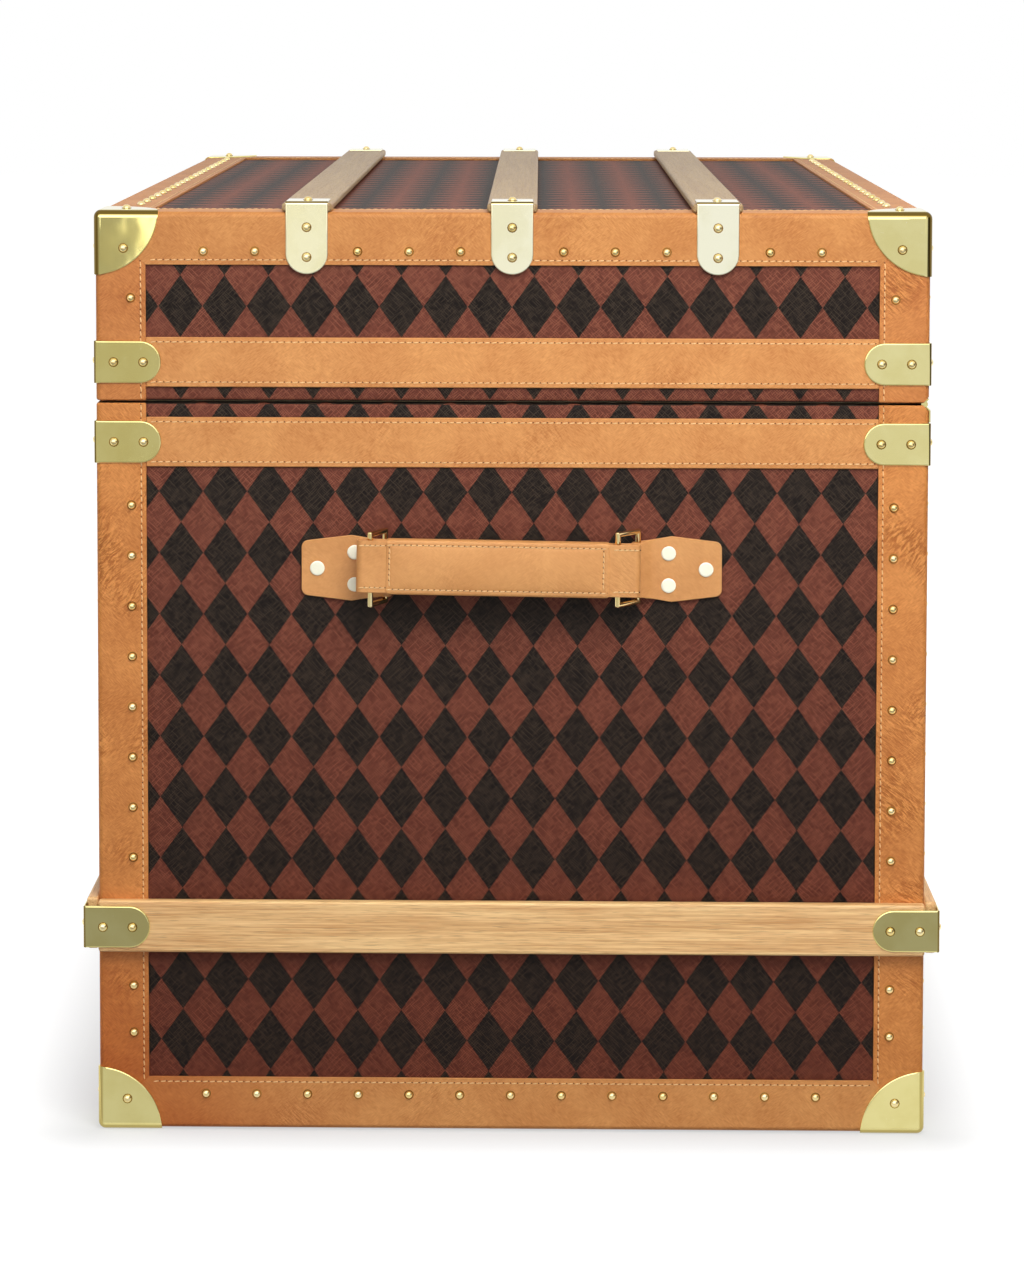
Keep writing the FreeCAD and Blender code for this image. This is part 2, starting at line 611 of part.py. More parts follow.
def wrap_plate(label, proud, low):
    """Angle plate round the +X +Y edge with half-round ends, standing proud of the leather."""
    body = new_body(label)
    x, y = f"({HALF_L} + {proud} + sizes.brass)", f"({HALF_W} + {proud} + sizes.brass)"
    reach, gauge = "sizes.clamp_reach", "sizes.brass"
    sketch = outline(body, label + "_outline", "XY", low,
                     [(x, y), (f"{x} - {reach}", y), (f"{x} - {reach}", f"{y} - {gauge}"),
                      (f"{x} - {gauge}", f"{y} - {gauge}"), (f"{x} - {gauge}", f"{y} - {reach}"),
                      (x, f"{y} - {reach}")])
    pad(body, label + "_pad", sketch, "sizes.clamp_height")
    corner_x, corner_y, tip = size(x), size(y), size("sizes.brass")
    round_edges(body, label + "_bend",
                lambda edge: runs_along(edge, Vector(0, 0, 1)) and passes(edge, x=corner_x, y=corner_y),
                "sizes.brass_bend")
    reach_x, reach_y = size(f"{x} - {reach}"), size(f"{y} - {reach}")
    round_edges(body, label + "_ends",
                lambda edge: abs(edge.Length - tip) < 0.01
                and (passes(edge, x=reach_x) or passes(edge, y=reach_y)),
                "sizes.clamp_height / 2 - sizes.round_spare")
    return body


def clamps():
    lid_low = f"{SEAM} + sizes.band_offset + (sizes.band_height - sizes.clamp_height) / 2"
    body_low = f"{SEAM} - sizes.band_offset - (sizes.band_height + sizes.clamp_height) / 2"
    lid_clamp = wrap_plate("lid_clamp", "0", lid_low)
    node(group("lid_clamps", four_corners("lid_clamp", lid_clamp)), "lid_corner_clamps")
    body_clamp = wrap_plate("body_clamp", "0", body_low)
    node(group("body_clamps", four_corners("body_clamp", body_clamp)), "body_corner_clamps")
    belt_low = "sizes.belt_height - sizes.clamp_height / 2"
    plate = wrap_plate("belt_plate", "sizes.belt_thickness", belt_low)
    node(group("belt_plates", four_corners("belt_plate", plate)), "belt_corner_plates")


def corner_cap(label, level, upward):
    """Three-sided brass corner over the rounded leather, cut to quarter circles by a sphere."""
    body = new_body(label)
    x, y = f"({HALF_L} + sizes.brass)", f"({HALF_W} + sizes.brass)"
    reach, gauge, past = "(sizes.cap_reach + 2 * sizes.overrun)", "sizes.brass", "sizes.overrun"
    inside = f"({level} + {upward} * {gauge})"
    outer_z, inner_z = (level, f"{level} + {reach}"), (inside, f"{level} + {reach} + {past}")
    if upward < 0:
        outer_z, inner_z = (f"{level} - {reach}", level), (f"{level} - {reach} - {past}", inside)
    prism(body, label + "_corner", (f"{x} - {reach}", f"{y} - {reach}", outer_z[0]), (x, y, outer_z[1]))
    prism(body, label + "_hollow", (f"{x} - {reach} - {past}", f"{y} - {reach} - {past}", inner_z[0]),
          (f"{x} - {gauge}", f"{y} - {gauge}", inner_z[1]), remove=True)
    for skin, places, radius in (("outside", (x, y, level), f"sizes.edge_round + {gauge}"),
                                 ("inside", (HALF_L, HALF_W, inside), "sizes.edge_round")):
        at_x, at_y, at_z = ({axis: size(place)} for axis, place in zip("xyz", places))
        meets = ((Vector(0, 0, 1), {**at_x, **at_y}), (Vector(1, 0, 0), {**at_y, **at_z}),
                 (Vector(0, 1, 0), {**at_x, **at_z}))
        round_edges(body, f"{label}_{skin}",
                    lambda edge: any(runs_along(edge, way) and passes(edge, **spot) for way, spot in meets),
                    radius)
    ball = doc.addObject("Part::Sphere", label + "_ball")
    ball.setExpression("Radius", "sizes.cap_reach")
    for axis, place in zip("xyz", (x, y, level)):
        ball.setExpression(f"Placement.Base.{axis}", place)
    return common(label + "_cut", [body, ball])


def corner_caps():
    base = corner_cap("base_cap", "0", 1)
    node(group("base_caps", four_corners("base_cap", base)), "base_corner_caps")
    top = corner_cap("top_cap", f"({TOP} + sizes.brass)", -1)
    node(group("top_caps", four_corners("top_cap", top)), "lid_corner_caps")


# ---------------------------------------------------------------- oak slats

def slat(label, low, high, direction, outer):
    """A slat with its two outer long edges rounded."""
    body = new_body(label)
    prism(body, label + "_bar", low, high)
    axis, value = outer
    place = size(value)
    round_edges(body, label + "_round",
                lambda edge: runs_along(edge, direction) and passes(edge, **{axis: place}),
                "sizes.slat_round")
    return body


def belt_slats():
    low = "(sizes.belt_height - sizes.belt_width / 2)"
    high = "(sizes.belt_height + sizes.belt_width / 2)"
    stop_x, stop_y = f"({HALF_L} - sizes.belt_gap)", f"({HALF_W} - sizes.belt_gap)"
    out_x, out_y = f"({HALF_L} + sizes.belt_thickness)", f"({HALF_W} + sizes.belt_thickness)"
    end = slat("end_slat", (HALF_L, f"-{stop_y}", low), (out_x, stop_y, high), Vector(0, 1, 0), ("x", out_x))
    node(group("end_slats", both_ends("end_slat", end)), "belt_slats_ends")
    side = slat("side_slat", (f"-{stop_x}", HALF_W, low), (stop_x, out_y, high), Vector(1, 0, 0),
                ("y", out_y))
    node(group("side_slats", both_sides("side_slat", side)), "belt_slats_sides")


def lid_slats():
    """Three slats along the lid, with a brass strap over each end."""
    top = f"({TOP} + sizes.slat_thickness)"
    tips = []
    for name, place in (("front", "-1"), ("middle", "0"), ("back", "1")):
        middle = f"({place} * sizes.slat_spacing)"
        body = slat("slat_" + name, (f"-{HALF_L}", f"{middle} - sizes.slat_width / 2", TOP),
                    (HALF_L, f"{middle} + sizes.slat_width / 2", top), Vector(1, 0, 0), ("z", top))
        node(body, f"top_slat_{name}")
        tips += both_ends("tip_" + name, slat_tip("tip_" + name, middle, top))
    node(group("slat_tips", tips), "slat_end_caps")


def slat_tip(label, middle, top):
    """Brass strap over the end of a slat and down the end of the lid, half-round below."""
    body = new_body(label)
    x, z = f"({HALF_L} + sizes.brass)", f"({top} + sizes.brass)"
    reach, foot = f"({HALF_L} - sizes.tip_reach)", f"({TOP} - sizes.tip_drop)"
    side = f"({middle} + sizes.tip_width / 2)"
    inner_x, inner_z = f"({x} - sizes.brass)", f"({z} - sizes.brass)"
    sketch = outline(body, label + "_outline", "XZ", side,
                     [(x, z), (reach, z), (reach, inner_z), (inner_x, inner_z), (inner_x, foot), (x, foot)])
    pad(body, label + "_pad", sketch, "sizes.tip_width")
    corner_x, corner_z, foot_z, gauge = size(x), size(z), size(foot), size("sizes.brass")
    round_edges(body, label + "_bend",
                lambda edge: runs_along(edge, Vector(0, 1, 0)) and passes(edge, x=corner_x, z=corner_z),
                "sizes.brass_bend")
    round_edges(body, label + "_foot",
                lambda edge: abs(edge.Length - gauge) < 0.01 and passes(edge, z=foot_z),
                "sizes.tip_width / 2 - sizes.round_spare")
    return body


# ---------------------------------------------------------------- piano hinge

def hinge_leaf(label, upward, first_knuckle):
    """One leaf: flange down the notch, flat, and every second knuckle of the row."""
    body = new_body(label)
    start = f"(-{HINGE_LENGTH} / 2)"
    end = f"({HINGE_LENGTH} / 2)"
    leaf, angle = "sizes.hinge_leaf", "sizes.hinge_angle"
    if upward > 0:
        prism(body, label + "_flat", (start, f"{HINGE_Y} - sizes.hinge_seat", LID_BOTTOM),
              (end, HINGE_Y, f"{LID_BOTTOM} + {leaf}"))
        flange_reach = f"(sizes.hinge_inset / cos({angle}))"
    else:
        flange_reach = f"((sizes.hinge_inset + {leaf}) / cos({angle}))"
        fold = f"({SEAM} - {flange_reach} * sin({angle}))"
        prism(body, label + "_flat", (start, HALF_W, f"{fold} - sizes.hinge_apron"),
              (end, f"{HALF_W} + {leaf}", fold))
    flange = body.newObject("PartDesign::AdditiveBox", label + "_flange")
    flange.setExpression("Length", HINGE_LENGTH)
    flange.setExpression("Width", flange_reach)
    flange.setExpression("Height", leaf)
    turn = upward * size(angle)
    flange.Placement = Placement(Vector(), Rotation(Vector(1, 0, 0), turn))
    behind = "0" if upward > 0 else leaf
    flange.setExpression("Placement.Base.x", start)
    flange.setExpression("Placement.Base.y", f"{HINGE_Y} - {behind} * sin({angle})")
    flange.setExpression("Placement.Base.z", f"{SEAM} - {behind} * cos({angle})")
    rod(body, label + "_barrel", "sizes.knuckle_radius", HINGE_LENGTH, (start, HINGE_Y, SEAM), TO_X)
    gap = rod(body, label + "_gap", "sizes.knuckle_radius + sizes.knuckle_gap",
              f"{KNUCKLE} + sizes.knuckle_gap",
              (f"{start} + {first_knuckle} * {KNUCKLE} - sizes.knuckle_gap / 2", HINGE_Y, SEAM),
              TO_X, remove=True)
    pattern = body.newObject("PartDesign::LinearPattern", label + "_gaps")
    pattern.Originals = [gap]
    pattern.Direction = (origin_feature(body, "X_Axis"), [""])
    pattern.setExpression("Length", f"2 * {KNUCKLE} * (sizes.knuckle_pairs - 1)")
    pattern.setExpression("Occurrences", "sizes.knuckle_pairs")
    body.Tip = pattern
    rod(body, label + "_bore", "sizes.pin_radius + sizes.pin_clearance",
        f"{HINGE_LENGTH} + 2 * sizes.overrun", (f"{start} - sizes.overrun", HINGE_Y, SEAM), TO_X, remove=True)
    return body


def hinge():
    node(hinge_leaf("lower_leaf", -1, 1), "hinge_leaf_body")
    node(hinge_leaf("upper_leaf", 1, 0), "hinge_leaf_lid")
    pin = new_body("long_pin")
    rod(pin, "long_pin_rod", "sizes.pin_radius", HINGE_LENGTH, (f"-{HINGE_LENGTH} / 2", HINGE_Y, SEAM), TO_X)
    node(pin, "hinge_pin")


# ---------------------------------------------------------------- hasps and their catches

HASPS = (("centre", "0"), ("right", "sizes.hasp_spacing"), ("left", "(-1 * sizes.hasp_spacing)"))


def hasp(name, middle):
    """Swinging strap with one knuckle, and a tooth with an eye that enters the catch."""
    label = name + "_strap"
    body = new_body(label)
    half, knuckle, thick = "(sizes.hasp_width / 2)", "(sizes.hasp_knuckle / 2)", "sizes.hasp_thickness"
    prism(body, label + "_plate", (f"-{half}", f"-{thick}", "-sizes.hasp_length"),
          (half, "0", "-sizes.hasp_neck"))
    bottom, gauge = -size("sizes.hasp_length"), size(thick)
    round_edges(body, label + "_tip",
                lambda edge: abs(edge.Length - gauge) < 0.01 and passes(edge, z=bottom),
                f"{half} - sizes.round_spare")
    shoulder = -size("sizes.hasp_neck")
    round_edges(body, label + "_shoulder",
                lambda edge: abs(edge.Length - gauge) < 0.01 and passes(edge, z=shoulder),
                "sizes.hasp_thickness")
    prism(body, label + "_neck", (f"-{knuckle}", f"-{thick}", "-sizes.hasp_neck - sizes.overrun"),
          (knuckle, "0", "0"))
    rod(body, label + "_knuckle", "sizes.hasp_thickness", "sizes.hasp_knuckle",
        (f"-{knuckle}", "0", "0"), TO_X)
    rod(body, label + "_bore", "sizes.pin_radius + sizes.pin_clearance",
        "sizes.hasp_knuckle + 2 * sizes.overrun", (f"-{knuckle} - sizes.overrun", "0", "0"), TO_X,
        remove=True)
    tooth = "(sizes.tooth_width / 2)"
    prism(body, label + "_tooth",
          (f"-{tooth}", f"-{thick} / 2", "-sizes.tooth_drop - sizes.tooth_height / 2"),
          (tooth, "sizes.tooth_reach", "-sizes.tooth_drop + sizes.tooth_height / 2"))
    eye_half = "(sizes.bolt_height / 2 + sizes.eye_clearance)"
    eye_back = "(sizes.tooth_reach - sizes.tooth_end)"
    prism(body, label + "_eye",
          (f"-{tooth} - sizes.overrun", f"{eye_back} - sizes.bolt_thickness - 2 * sizes.eye_clearance",
           f"-sizes.tooth_drop - {eye_half}"),
          (f"{tooth} + sizes.overrun", eye_back, f"-sizes.tooth_drop + {eye_half}"), remove=True)
    turn = Rotation(Vector(1, 0, 0), -size("sizes.hasp_ajar"))
    body.Placement = Placement(Vector(size(middle), size(HASP_Y), size(HASP_Z)), turn)
    node(body, name + "_hasp")


def hasp_bracket(name, middle):
    """Plate on the lid with two arms that carry the outer knuckles."""
    label = name + "_bracket"
    body = new_body(label)
    half = "(sizes.hasp_knuckle / 2 + sizes.knuckle_gap + sizes.hasp_side_knuckle)"
    foot = f"({HASP_Z} + sizes.bracket_foot)"
    head = f"({SEAM} + sizes.band_offset + sizes.band_height - sizes.bracket_margin)"
    face = f"(-{HALF_W} - sizes.brass)"
    prism(body, label + "_plate", (f"{middle} - {half}", face, foot),
          (f"{middle} + {half}", f"-{HALF_W}", head))
    top, gauge = size(head), size("sizes.brass")
    round_edges(body, label + "_corners",
                lambda edge: abs(edge.Length - gauge) < 0.01 and passes(edge, z=top),
                "sizes.fitting_round")
    knuckle = "sizes.hasp_side_knuckle"
    for side, start in (("left", f"{middle} - {half}"), ("right", f"{middle} + {half} - {knuckle}")):
        end = f"{start} + {knuckle}"
        prism(body, f"{label}_arm_{side}", (start, HASP_Y, f"{HASP_Z} + sizes.arm_low"),
              (end, f"-{HALF_W}", f"{HASP_Z} + sizes.arm_high"))
        rod(body, f"{label}_knuckle_{side}", "sizes.hasp_thickness", knuckle, (start, HASP_Y, HASP_Z), TO_X)
    rod(body, label + "_bore", "sizes.pin_radius + sizes.pin_clearance", f"2 * {half} + 2 * sizes.overrun",
        (f"{middle} - {half} - sizes.overrun", HASP_Y, HASP_Z), TO_X, remove=True)
    pin = new_body(name + "_pin")
    rod(pin, name + "_pin_rod", "sizes.pin_radius", f"2 * {half}",
        (f"{middle} - {half}", HASP_Y, HASP_Z), TO_X)
    return body, pin


def catch_case(label, middle, width, height):
    """Raised case under a hasp, hollow behind the slot that takes the tooth."""
    body = new_body(label)
    half = f"({width} / 2)"
    high = f"({SEAM} - sizes.case_top)"
    low = f"({high} - {height})"
    face = f"(-{HALF_W} - sizes.case_depth)"
    prism(body, label + "_box", (f"{middle} - {half}", face, low), (f"{middle} + {half}", f"-{HALF_W}", high))
    depth = size("sizes.case_depth")
    round_edges(body, label + "_corners", lambda edge: abs(edge.Length - depth) < 0.01, "sizes.fitting_round")
    front = size(face)
    round_edges(body, label + "_rim", lambda edge: passes(edge, y=front), "sizes.case_wall / 2")
    return body, low, face


def hollow_case(body, label, middle, room_low, room_high, room_left, room_right, face):
    """Cut the room behind the case's face and the slot into it."""
    wall = f"({face} + sizes.case_wall)"
    prism(body, label + "_room", (f"{middle} - {room_left}", wall, room_low),
          (f"{middle} + {room_right}", f"-{HALF_W} - sizes.cylinder_behind", room_high), remove=True)
    slot = "(sizes.tooth_width / 2 + sizes.slot_clearance)"
    centre = f"({HASP_Z} - sizes.tooth_drop)"
    low = f"({centre} - sizes.tooth_height / 2 - sizes.slot_below)"
    high = f"({centre} + sizes.tooth_height / 2 + sizes.slot_above)"
    prism(body, label + "_slot", (f"{middle} - {slot}", f"{face} - sizes.overrun", low),
          (f"{middle} + {slot}", f"{wall} + sizes.overrun", high), remove=True)


def lock():
    """Middle case with its key cylinder and bolt."""
    body, low, face = catch_case("middle_case", "0", "sizes.case_width", "sizes.case_height")
    key_z = f"({HASP_Z} - sizes.cylinder_drop)"
    centre = f"({HASP_Z} - sizes.tooth_drop)"
    hollow_case(body, "middle_case", "0", f"{key_z} - sizes.lock_room_below", f"{centre} + sizes.room_above",
                "sizes.lock_room_left", "sizes.lock_room_right", face)
    packer = "(sizes.case_width / 2 - sizes.packer_inset)"
    prism(body, "middle_case_packer", (f"-{packer}", f"-{HALF_W} - sizes.packer_lap", low),
          (packer, f"-{CANVAS_Y}", f"{SEAM} - sizes.band_offset - sizes.band_height - sizes.packer_lap"))
    rod(body, "middle_case_hole", "sizes.cylinder_radius + sizes.pin_clearance",
        "sizes.case_wall + 2 * sizes.overrun", ("0", f"{face} - sizes.overrun", key_z), TO_Y, remove=True)
    node(body, "lock_case")
    cylinder = new_body("cylinder")
    front = f"({face} - sizes.cylinder_proud)"
    rod(cylinder, "cylinder_plug", "sizes.cylinder_radius",
        "sizes.case_depth + sizes.cylinder_proud - sizes.cylinder_behind", ("0", front, key_z), TO_Y)
    wide, tall = "(sizes.key_slot_width / 2)", "(sizes.key_slot_height / 2)"
    prism(cylinder, "cylinder_key_slot", (f"-{wide}", f"{front} - sizes.overrun", f"{key_z} - {tall}"),
          (wide, f"{front} + sizes.key_slot_depth", f"{key_z} + {tall}"), remove=True)
    node(cylinder, "key_cylinder")
    bolt = new_body("bolt")
    half = "(sizes.bolt_height / 2)"
    inside = f"({HASP_Y} + sizes.tooth_reach - sizes.tooth_end - sizes.eye_clearance)"
    rest = "(sizes.tooth_width / 2 + sizes.bolt_rest)"
    tail = f"({rest} + sizes.bolt_travel + sizes.bolt_tail)"
    outside = f"({inside} - sizes.bolt_thickness)"
    prism(bolt, "bolt_bar", (rest, outside, f"{centre} - {half}"), (tail, inside, f"{centre} + {half}"))
    prism(bolt, "bolt_arm", (f"{rest} + sizes.bolt_leg_start", outside, f"{centre} - sizes.bolt_leg"),
          (tail, inside, centre))
    node(bolt, "lock_bolt")


def closures():
    plates, pins, catches = [], [], []
    for name, middle in HASPS:
        hasp(name, middle)
        plate, pin = hasp_bracket(name, middle)
        plates.append(plate)
        pins.append(pin)
        if name != "centre":
            label = name + "_catch"
            body, low, face = catch_case(label, middle, "sizes.side_case_width", "sizes.side_case_height")
            centre = f"({HASP_Z} - sizes.tooth_drop)"
            hollow_case(body, label, middle, f"{centre} - sizes.room_below", f"{centre} + sizes.room_above",
                        "sizes.room_side", "sizes.room_side", face)
            catches.append(body)
    node(group("brackets", plates), "hasp_brackets")
    node(group("pins", pins), "hasp_pins")
    node(group("catches", catches), "side_catches")
    lock()


# ---------------------------------------------------------------- end handles

def anchor():
    """Leather at the slack side: a six-sided plate with a loop round the ring's bar."""
    body = new_body("anchor")
    middle, bar = HANDLE_Z, "sizes.ring_place"
    tip, waist = "sizes.anchor_tip_height / 2", "sizes.anchor_height / 2"
    loop = "sizes.anchor_loop_height / 2"
    sketch = outline(body, "anchor_outline", "YZ", CANVAS_X,
                     [(bar, f"{middle} - {loop}"), ("sizes.anchor_shoulder", f"{middle} - {waist}"),
                      ("sizes.anchor_tip", f"{middle} - {tip}"), ("sizes.anchor_tip", f"{middle} + {tip}"),
                      ("sizes.anchor_shoulder", f"{middle} + {waist}"), (bar, f"{middle} + {loop}")])
    pad(body, "anchor_pad", sketch, "sizes.anchor_thickness")
    tip_y = size("sizes.anchor_tip")
    round_edges(body, "anchor_corners",
                lambda edge: runs_along(edge, Vector(1, 0, 0)) and passes(edge, y=tip_y),
                "sizes.anchor_round")
    loop_radius = "sizes.loop_leather + sizes.ring_play + sizes.ring_bar"
    rod(body, "anchor_loop", loop_radius, "sizes.anchor_loop_height", (BAR_X, bar, f"{middle} - {loop}"))
    rod(body, "anchor_bore", "sizes.ring_bar + sizes.ring_play",
        "sizes.anchor_loop_height + 2 * sizes.overrun", (BAR_X, bar, f"{middle} - {loop} - sizes.overrun"),
        remove=True)
    return body


def ring(label, side, lean):
    """Rectangular brass ring: two round bars and two flat arms, about its anchored bar."""
    body = new_body(label)
    bar, width, half = "sizes.ring_bar", "sizes.ring_width", "(sizes.ring_height / 2)"
    prism(body, label + "_frame", (f"-{bar}", f"-{bar}", f"-{half}"), (bar, f"{width} + {bar}", half))
    prism(body, label + "_window", (f"-{bar} - sizes.overrun", bar, f"-{half} + sizes.ring_arm"),
          (f"{bar} + sizes.overrun", f"{width} - {bar}", f"{half} - sizes.ring_arm"), remove=True)
    round_edges(body, label + "_bars",
                lambda edge: runs_along(edge, Vector(0, 0, 1)), "sizes.ring_bar - sizes.round_spare")
    turn = Rotation(Vector(0, 0, 1), -90 - size(lean))
    place = Vector(size(BAR_X), side * size("sizes.ring_place"), size(f"{HANDLE_Z} + sizes.ring_rise"))
    body.Placement = Placement(place, turn)
    return body


def free_bar(side, lean):
    """Where a ring's outer bar stands."""
    angle = math.radians(size(lean))
    width = size("sizes.ring_width")
    return Vector(size(BAR_X) + width * math.cos(angle),
                  side * size("sizes.ring_place") - width * math.sin(angle), 0)


def grip():
    """Stitched strap with a padded middle and a flat loop round each ring's outer bar."""
    taut, slack = free_bar(-1, "sizes.taut_lean"), free_bar(1, "sizes.slack_lean")
    span = (slack - taut).Length
    body = new_body("grip")
    half, thick = "(sizes.grip_height / 2)", "(sizes.ring_bar + sizes.grip_play + sizes.grip_leather)"
    start, end = "(-sizes.grip_taut_end)", f"({span} + sizes.grip_slack_end)"
    prism(body, "grip_strap", (f"-{thick}", start, f"-{half}"), (thick, end, half))
    round_edges(body, "grip_ends",
                lambda edge: runs_along(edge, Vector(0, 0, 1)), f"{thick} - sizes.round_spare")
    pad_half = "(sizes.pad_height / 2)"
    pad_start, pad_end = f"({start} + sizes.loop_length)", f"({end} - sizes.slack_loop_length)"
    prism(body, "grip_pad", (f"-{thick} - sizes.pad_behind", pad_start, f"-{pad_half}"),
          (f"{thick} + sizes.pad_before", pad_end, pad_half))
    pad_z = size(pad_half)
    round_edges(body, "grip_pad_round",
                lambda edge: (runs_along(edge, Vector(0, 1, 0))
                              and abs(abs(edge.BoundBox.Center.z) - pad_z) < 0.01),
                "sizes.grip_leather")
    slot = "(sizes.ring_bar + sizes.grip_play)"
    for number, (low, high) in enumerate(((f"{start} + sizes.loop_end", f"{pad_start} - sizes.loop_root"),
                                          (f"{pad_end} + sizes.loop_root", f"{end} - sizes.loop_end"))):
        prism(body, f"grip_slot_{number}", (f"-{slot}", low, f"-{half} - sizes.overrun"),
              (slot, high, f"{half} + sizes.overrun"), remove=True)
    tilt = math.degrees(math.atan2(taut.x - slack.x, slack.y - taut.y))
    turn = Rotation(Vector(0, 0, 1), tilt) * Rotation(Vector(1, 0, 0), -size("sizes.grip_roll"))
    rise = span / 2 * math.sin(math.radians(size("sizes.grip_roll")))
    height = size(f"{HANDLE_Z} + sizes.grip_rise") + rise
    body.Placement = Placement(Vector(taut.x, taut.y, height), turn)
    return body


def anchor_rivets():
    """Three flat rivets in each anchor leather of one handle."""
    middle, spread = size(HANDLE_Z), size("sizes.strap_rivet_spread")
    face = size(f"{CANVAS_X} + sizes.anchor_thickness")
    outer, inner = size("sizes.strap_rivet_outer"), size("sizes.strap_rivet_inner")
    places = []
    for side in (-1, 1):
        for along, above in ((outer, 0), (inner, spread), (inner, -spread)):
            places.append((Vector(face, side * along, middle + above), Vector(1, 0, 0)))
    return places


def handles():
    pieces = {"handle_anchors": group("right_anchors", both_sides("anchor", anchor())),
              "handle_taut_ring": ring("taut_ring", -1, "sizes.taut_lean"),
              "handle_slack_ring": ring("slack_ring", 1, "sizes.slack_lean"),
              "handle_grip": grip()}
    for name, piece in pieces.items():
        node(piece, "right_" + name)
        node(half_turn("turned_" + name, piece), "left_" + name)


# ---------------------------------------------------------------- lift-out tray

def tray():
    out_x = f"({LINED_X} - sizes.lip_thickness - sizes.tray_clearance)"
    out_y = f"({LINED_Y} - sizes.lip_thickness - sizes.tray_clearance)"
    in_x, in_y = f"({out_x} - sizes.tray_wall)", f"({out_y} - sizes.tray_wall)"
    top = f"({SEAM} - sizes.tray_below_seam)"
    low = f"({top} - sizes.tray_height)"
    ledge = block("ledge", (f"{LINED_X} - sizes.ledge_size", f"-{LINED_Y} + sizes.ledge_inset",
                            f"{low} - sizes.ledge_size"), (LINED_X, f"{LINED_Y} - sizes.ledge_inset", low))
    node(group("ledges", both_ends("ledge", ledge)), "tray_ledges")
    floor_top = f"{low} + sizes.tray_floor"
    node(block("tray_base", (f"-{out_x}", f"-{out_y}", low), (out_x, out_y, floor_top)), "tray_bottom")
    side = block("tray_side", (f"-{out_x}", in_y, floor_top), (out_x, out_y, top))
    end = block("tray_end", (in_x, f"-{in_y}", floor_top), (out_x, in_y, top))
    node(group("tray_frame", both_sides("tray_side", side) + both_ends("tray_end", end)), "tray_walls")
    half, strap = "(sizes.pull_width / 2)", "sizes.pull_strap"
    body = new_body("pull")
    pull_x = f"({in_x} - sizes.pull_thickness)"
    rim = f"({top} + sizes.pull_rise)"
    prism(body, "pull_plate", (pull_x, f"-{half}", f"{rim} - sizes.pull_height"), (in_x, half, rim))
    gauge, pull_top = size("sizes.pull_thickness"), size(rim)
    round_edges(body, "pull_round",
                lambda edge: abs(edge.Length - gauge) < 0.01 and passes(edge, z=pull_top), "sizes.pull_round")
    prism(body, "pull_window",
          (f"{pull_x} - sizes.overrun", f"-{half} + {strap}", f"{rim} - sizes.pull_height - sizes.overrun"),
          (f"{in_x} + sizes.overrun", f"{half} - {strap}", f"{rim} - {strap}"), remove=True)
    node(group("pulls", both_ends("pull", body)), "tray_pulls")


# ---------------------------------------------------------------- rivets

def dome(radius, rise):
    """A rivet head on the XY plane."""
    sphere = (radius ** 2 + rise ** 2) / (2 * rise)
    angle = math.asin(radius / sphere) / 2
    edge_point, crown = Vector(radius, 0, 0), Vector(0, 0, rise)
    between = Vector(sphere * math.sin(angle), 0, rise - sphere + sphere * math.cos(angle))
    profile = Part.Wire([Part.Arc(edge_point, between, crown).toShape(),
                         Part.makeLine(crown, Vector()), Part.makeLine(Vector(), edge_point)])
    return Part.Face(profile).revolve(Vector(), Vector(0, 0, 1), 360)


def flat_head(radius, rise, bevel):
    """A flat rivet head with a sloping rim on the XY plane."""
    corners = [Vector(), Vector(radius, 0, 0), Vector(radius, 0, rise - bevel),
               Vector(radius - bevel, 0, rise), Vector(0, 0, rise), Vector()]
    return Part.Face(Part.makePolygon(corners)).revolve(Vector(), Vector(0, 0, 1), 360)


def rivets(label, places, head):
    """A group of rivet heads, each at a point and facing along a normal."""
    heads = []
    for point, normal in places:
        copy = head.copy()
        copy.Placement = Placement(point, Rotation(Vector(0, 0, 1), normal))
        heads.append(copy)
    feature = doc.addObject("Part::Feature", label + "_heads")
    feature.Shape = Part.makeCompound(heads)
    feature.Placement = Placement()
    node(feature, label)


def at_corners(proud, level):
    """Two rivets on each leg of the four plates wrapped round the corners at a level."""
    x, y = size(HALF_L) + proud, size(HALF_W) + proud
    places = []
    for sign_x in (-1, 1):
        for sign_y in (-1, 1):
            for back in (size("sizes.clamp_rivet_near"), size("sizes.clamp_rivet_far")):
                places.append((Vector(sign_x * x, sign_y * (y - back), level), Vector(sign_x, 0, 0)))
                places.append((Vector(sign_x * (x - back), sign_y * y, level), Vector(0, sign_y, 0)))
    return places


def cap_rivets(level, flat_face):
    """One rivet in each visible face of the four corner caps at a level."""
    brass, inset = size("sizes.brass"), size("sizes.cap_rivet_inset")
    x, y = size(HALF_L) + brass, size(HALF_W) + brass
    places = []
    for sign_x in (-1, 1):
        for sign_y in (-1, 1):
            places.append((Vector(sign_x * x, sign_y * (y - inset), level), Vector(sign_x, 0, 0)))
            places.append((Vector(sign_x * (x - inset), sign_y * y, level), Vector(0, sign_y, 0)))
            if flat_face:
                top = Vector(sign_x * (x - inset), sign_y * (y - inset), size(TOP) + brass)
                places.append((top, Vector(0, 0, 1)))
    return places


def tip_rivets():
    """Three rivets in each brass strap over a slat end."""
    brass, top = size("sizes.brass"), size(TOP)
    crown = top + size("sizes.slat_thickness") + brass
    places = []
    for sign in (-1, 1):
        for row in (-1, 0, 1):
            y = row * size("sizes.slat_spacing")
            face = sign * (size(HALF_L) + brass)
            for drop in (size("sizes.tip_rivet_high"), size("sizes.tip_rivet_low")):
                places.append((Vector(face, y, top - drop), Vector(sign, 0, 0)))
            back = sign * size(f"{HALF_L} - sizes.tip_rivet_back")
            places.append((Vector(back, y, crown), Vector(0, 0, 1)))
    return places


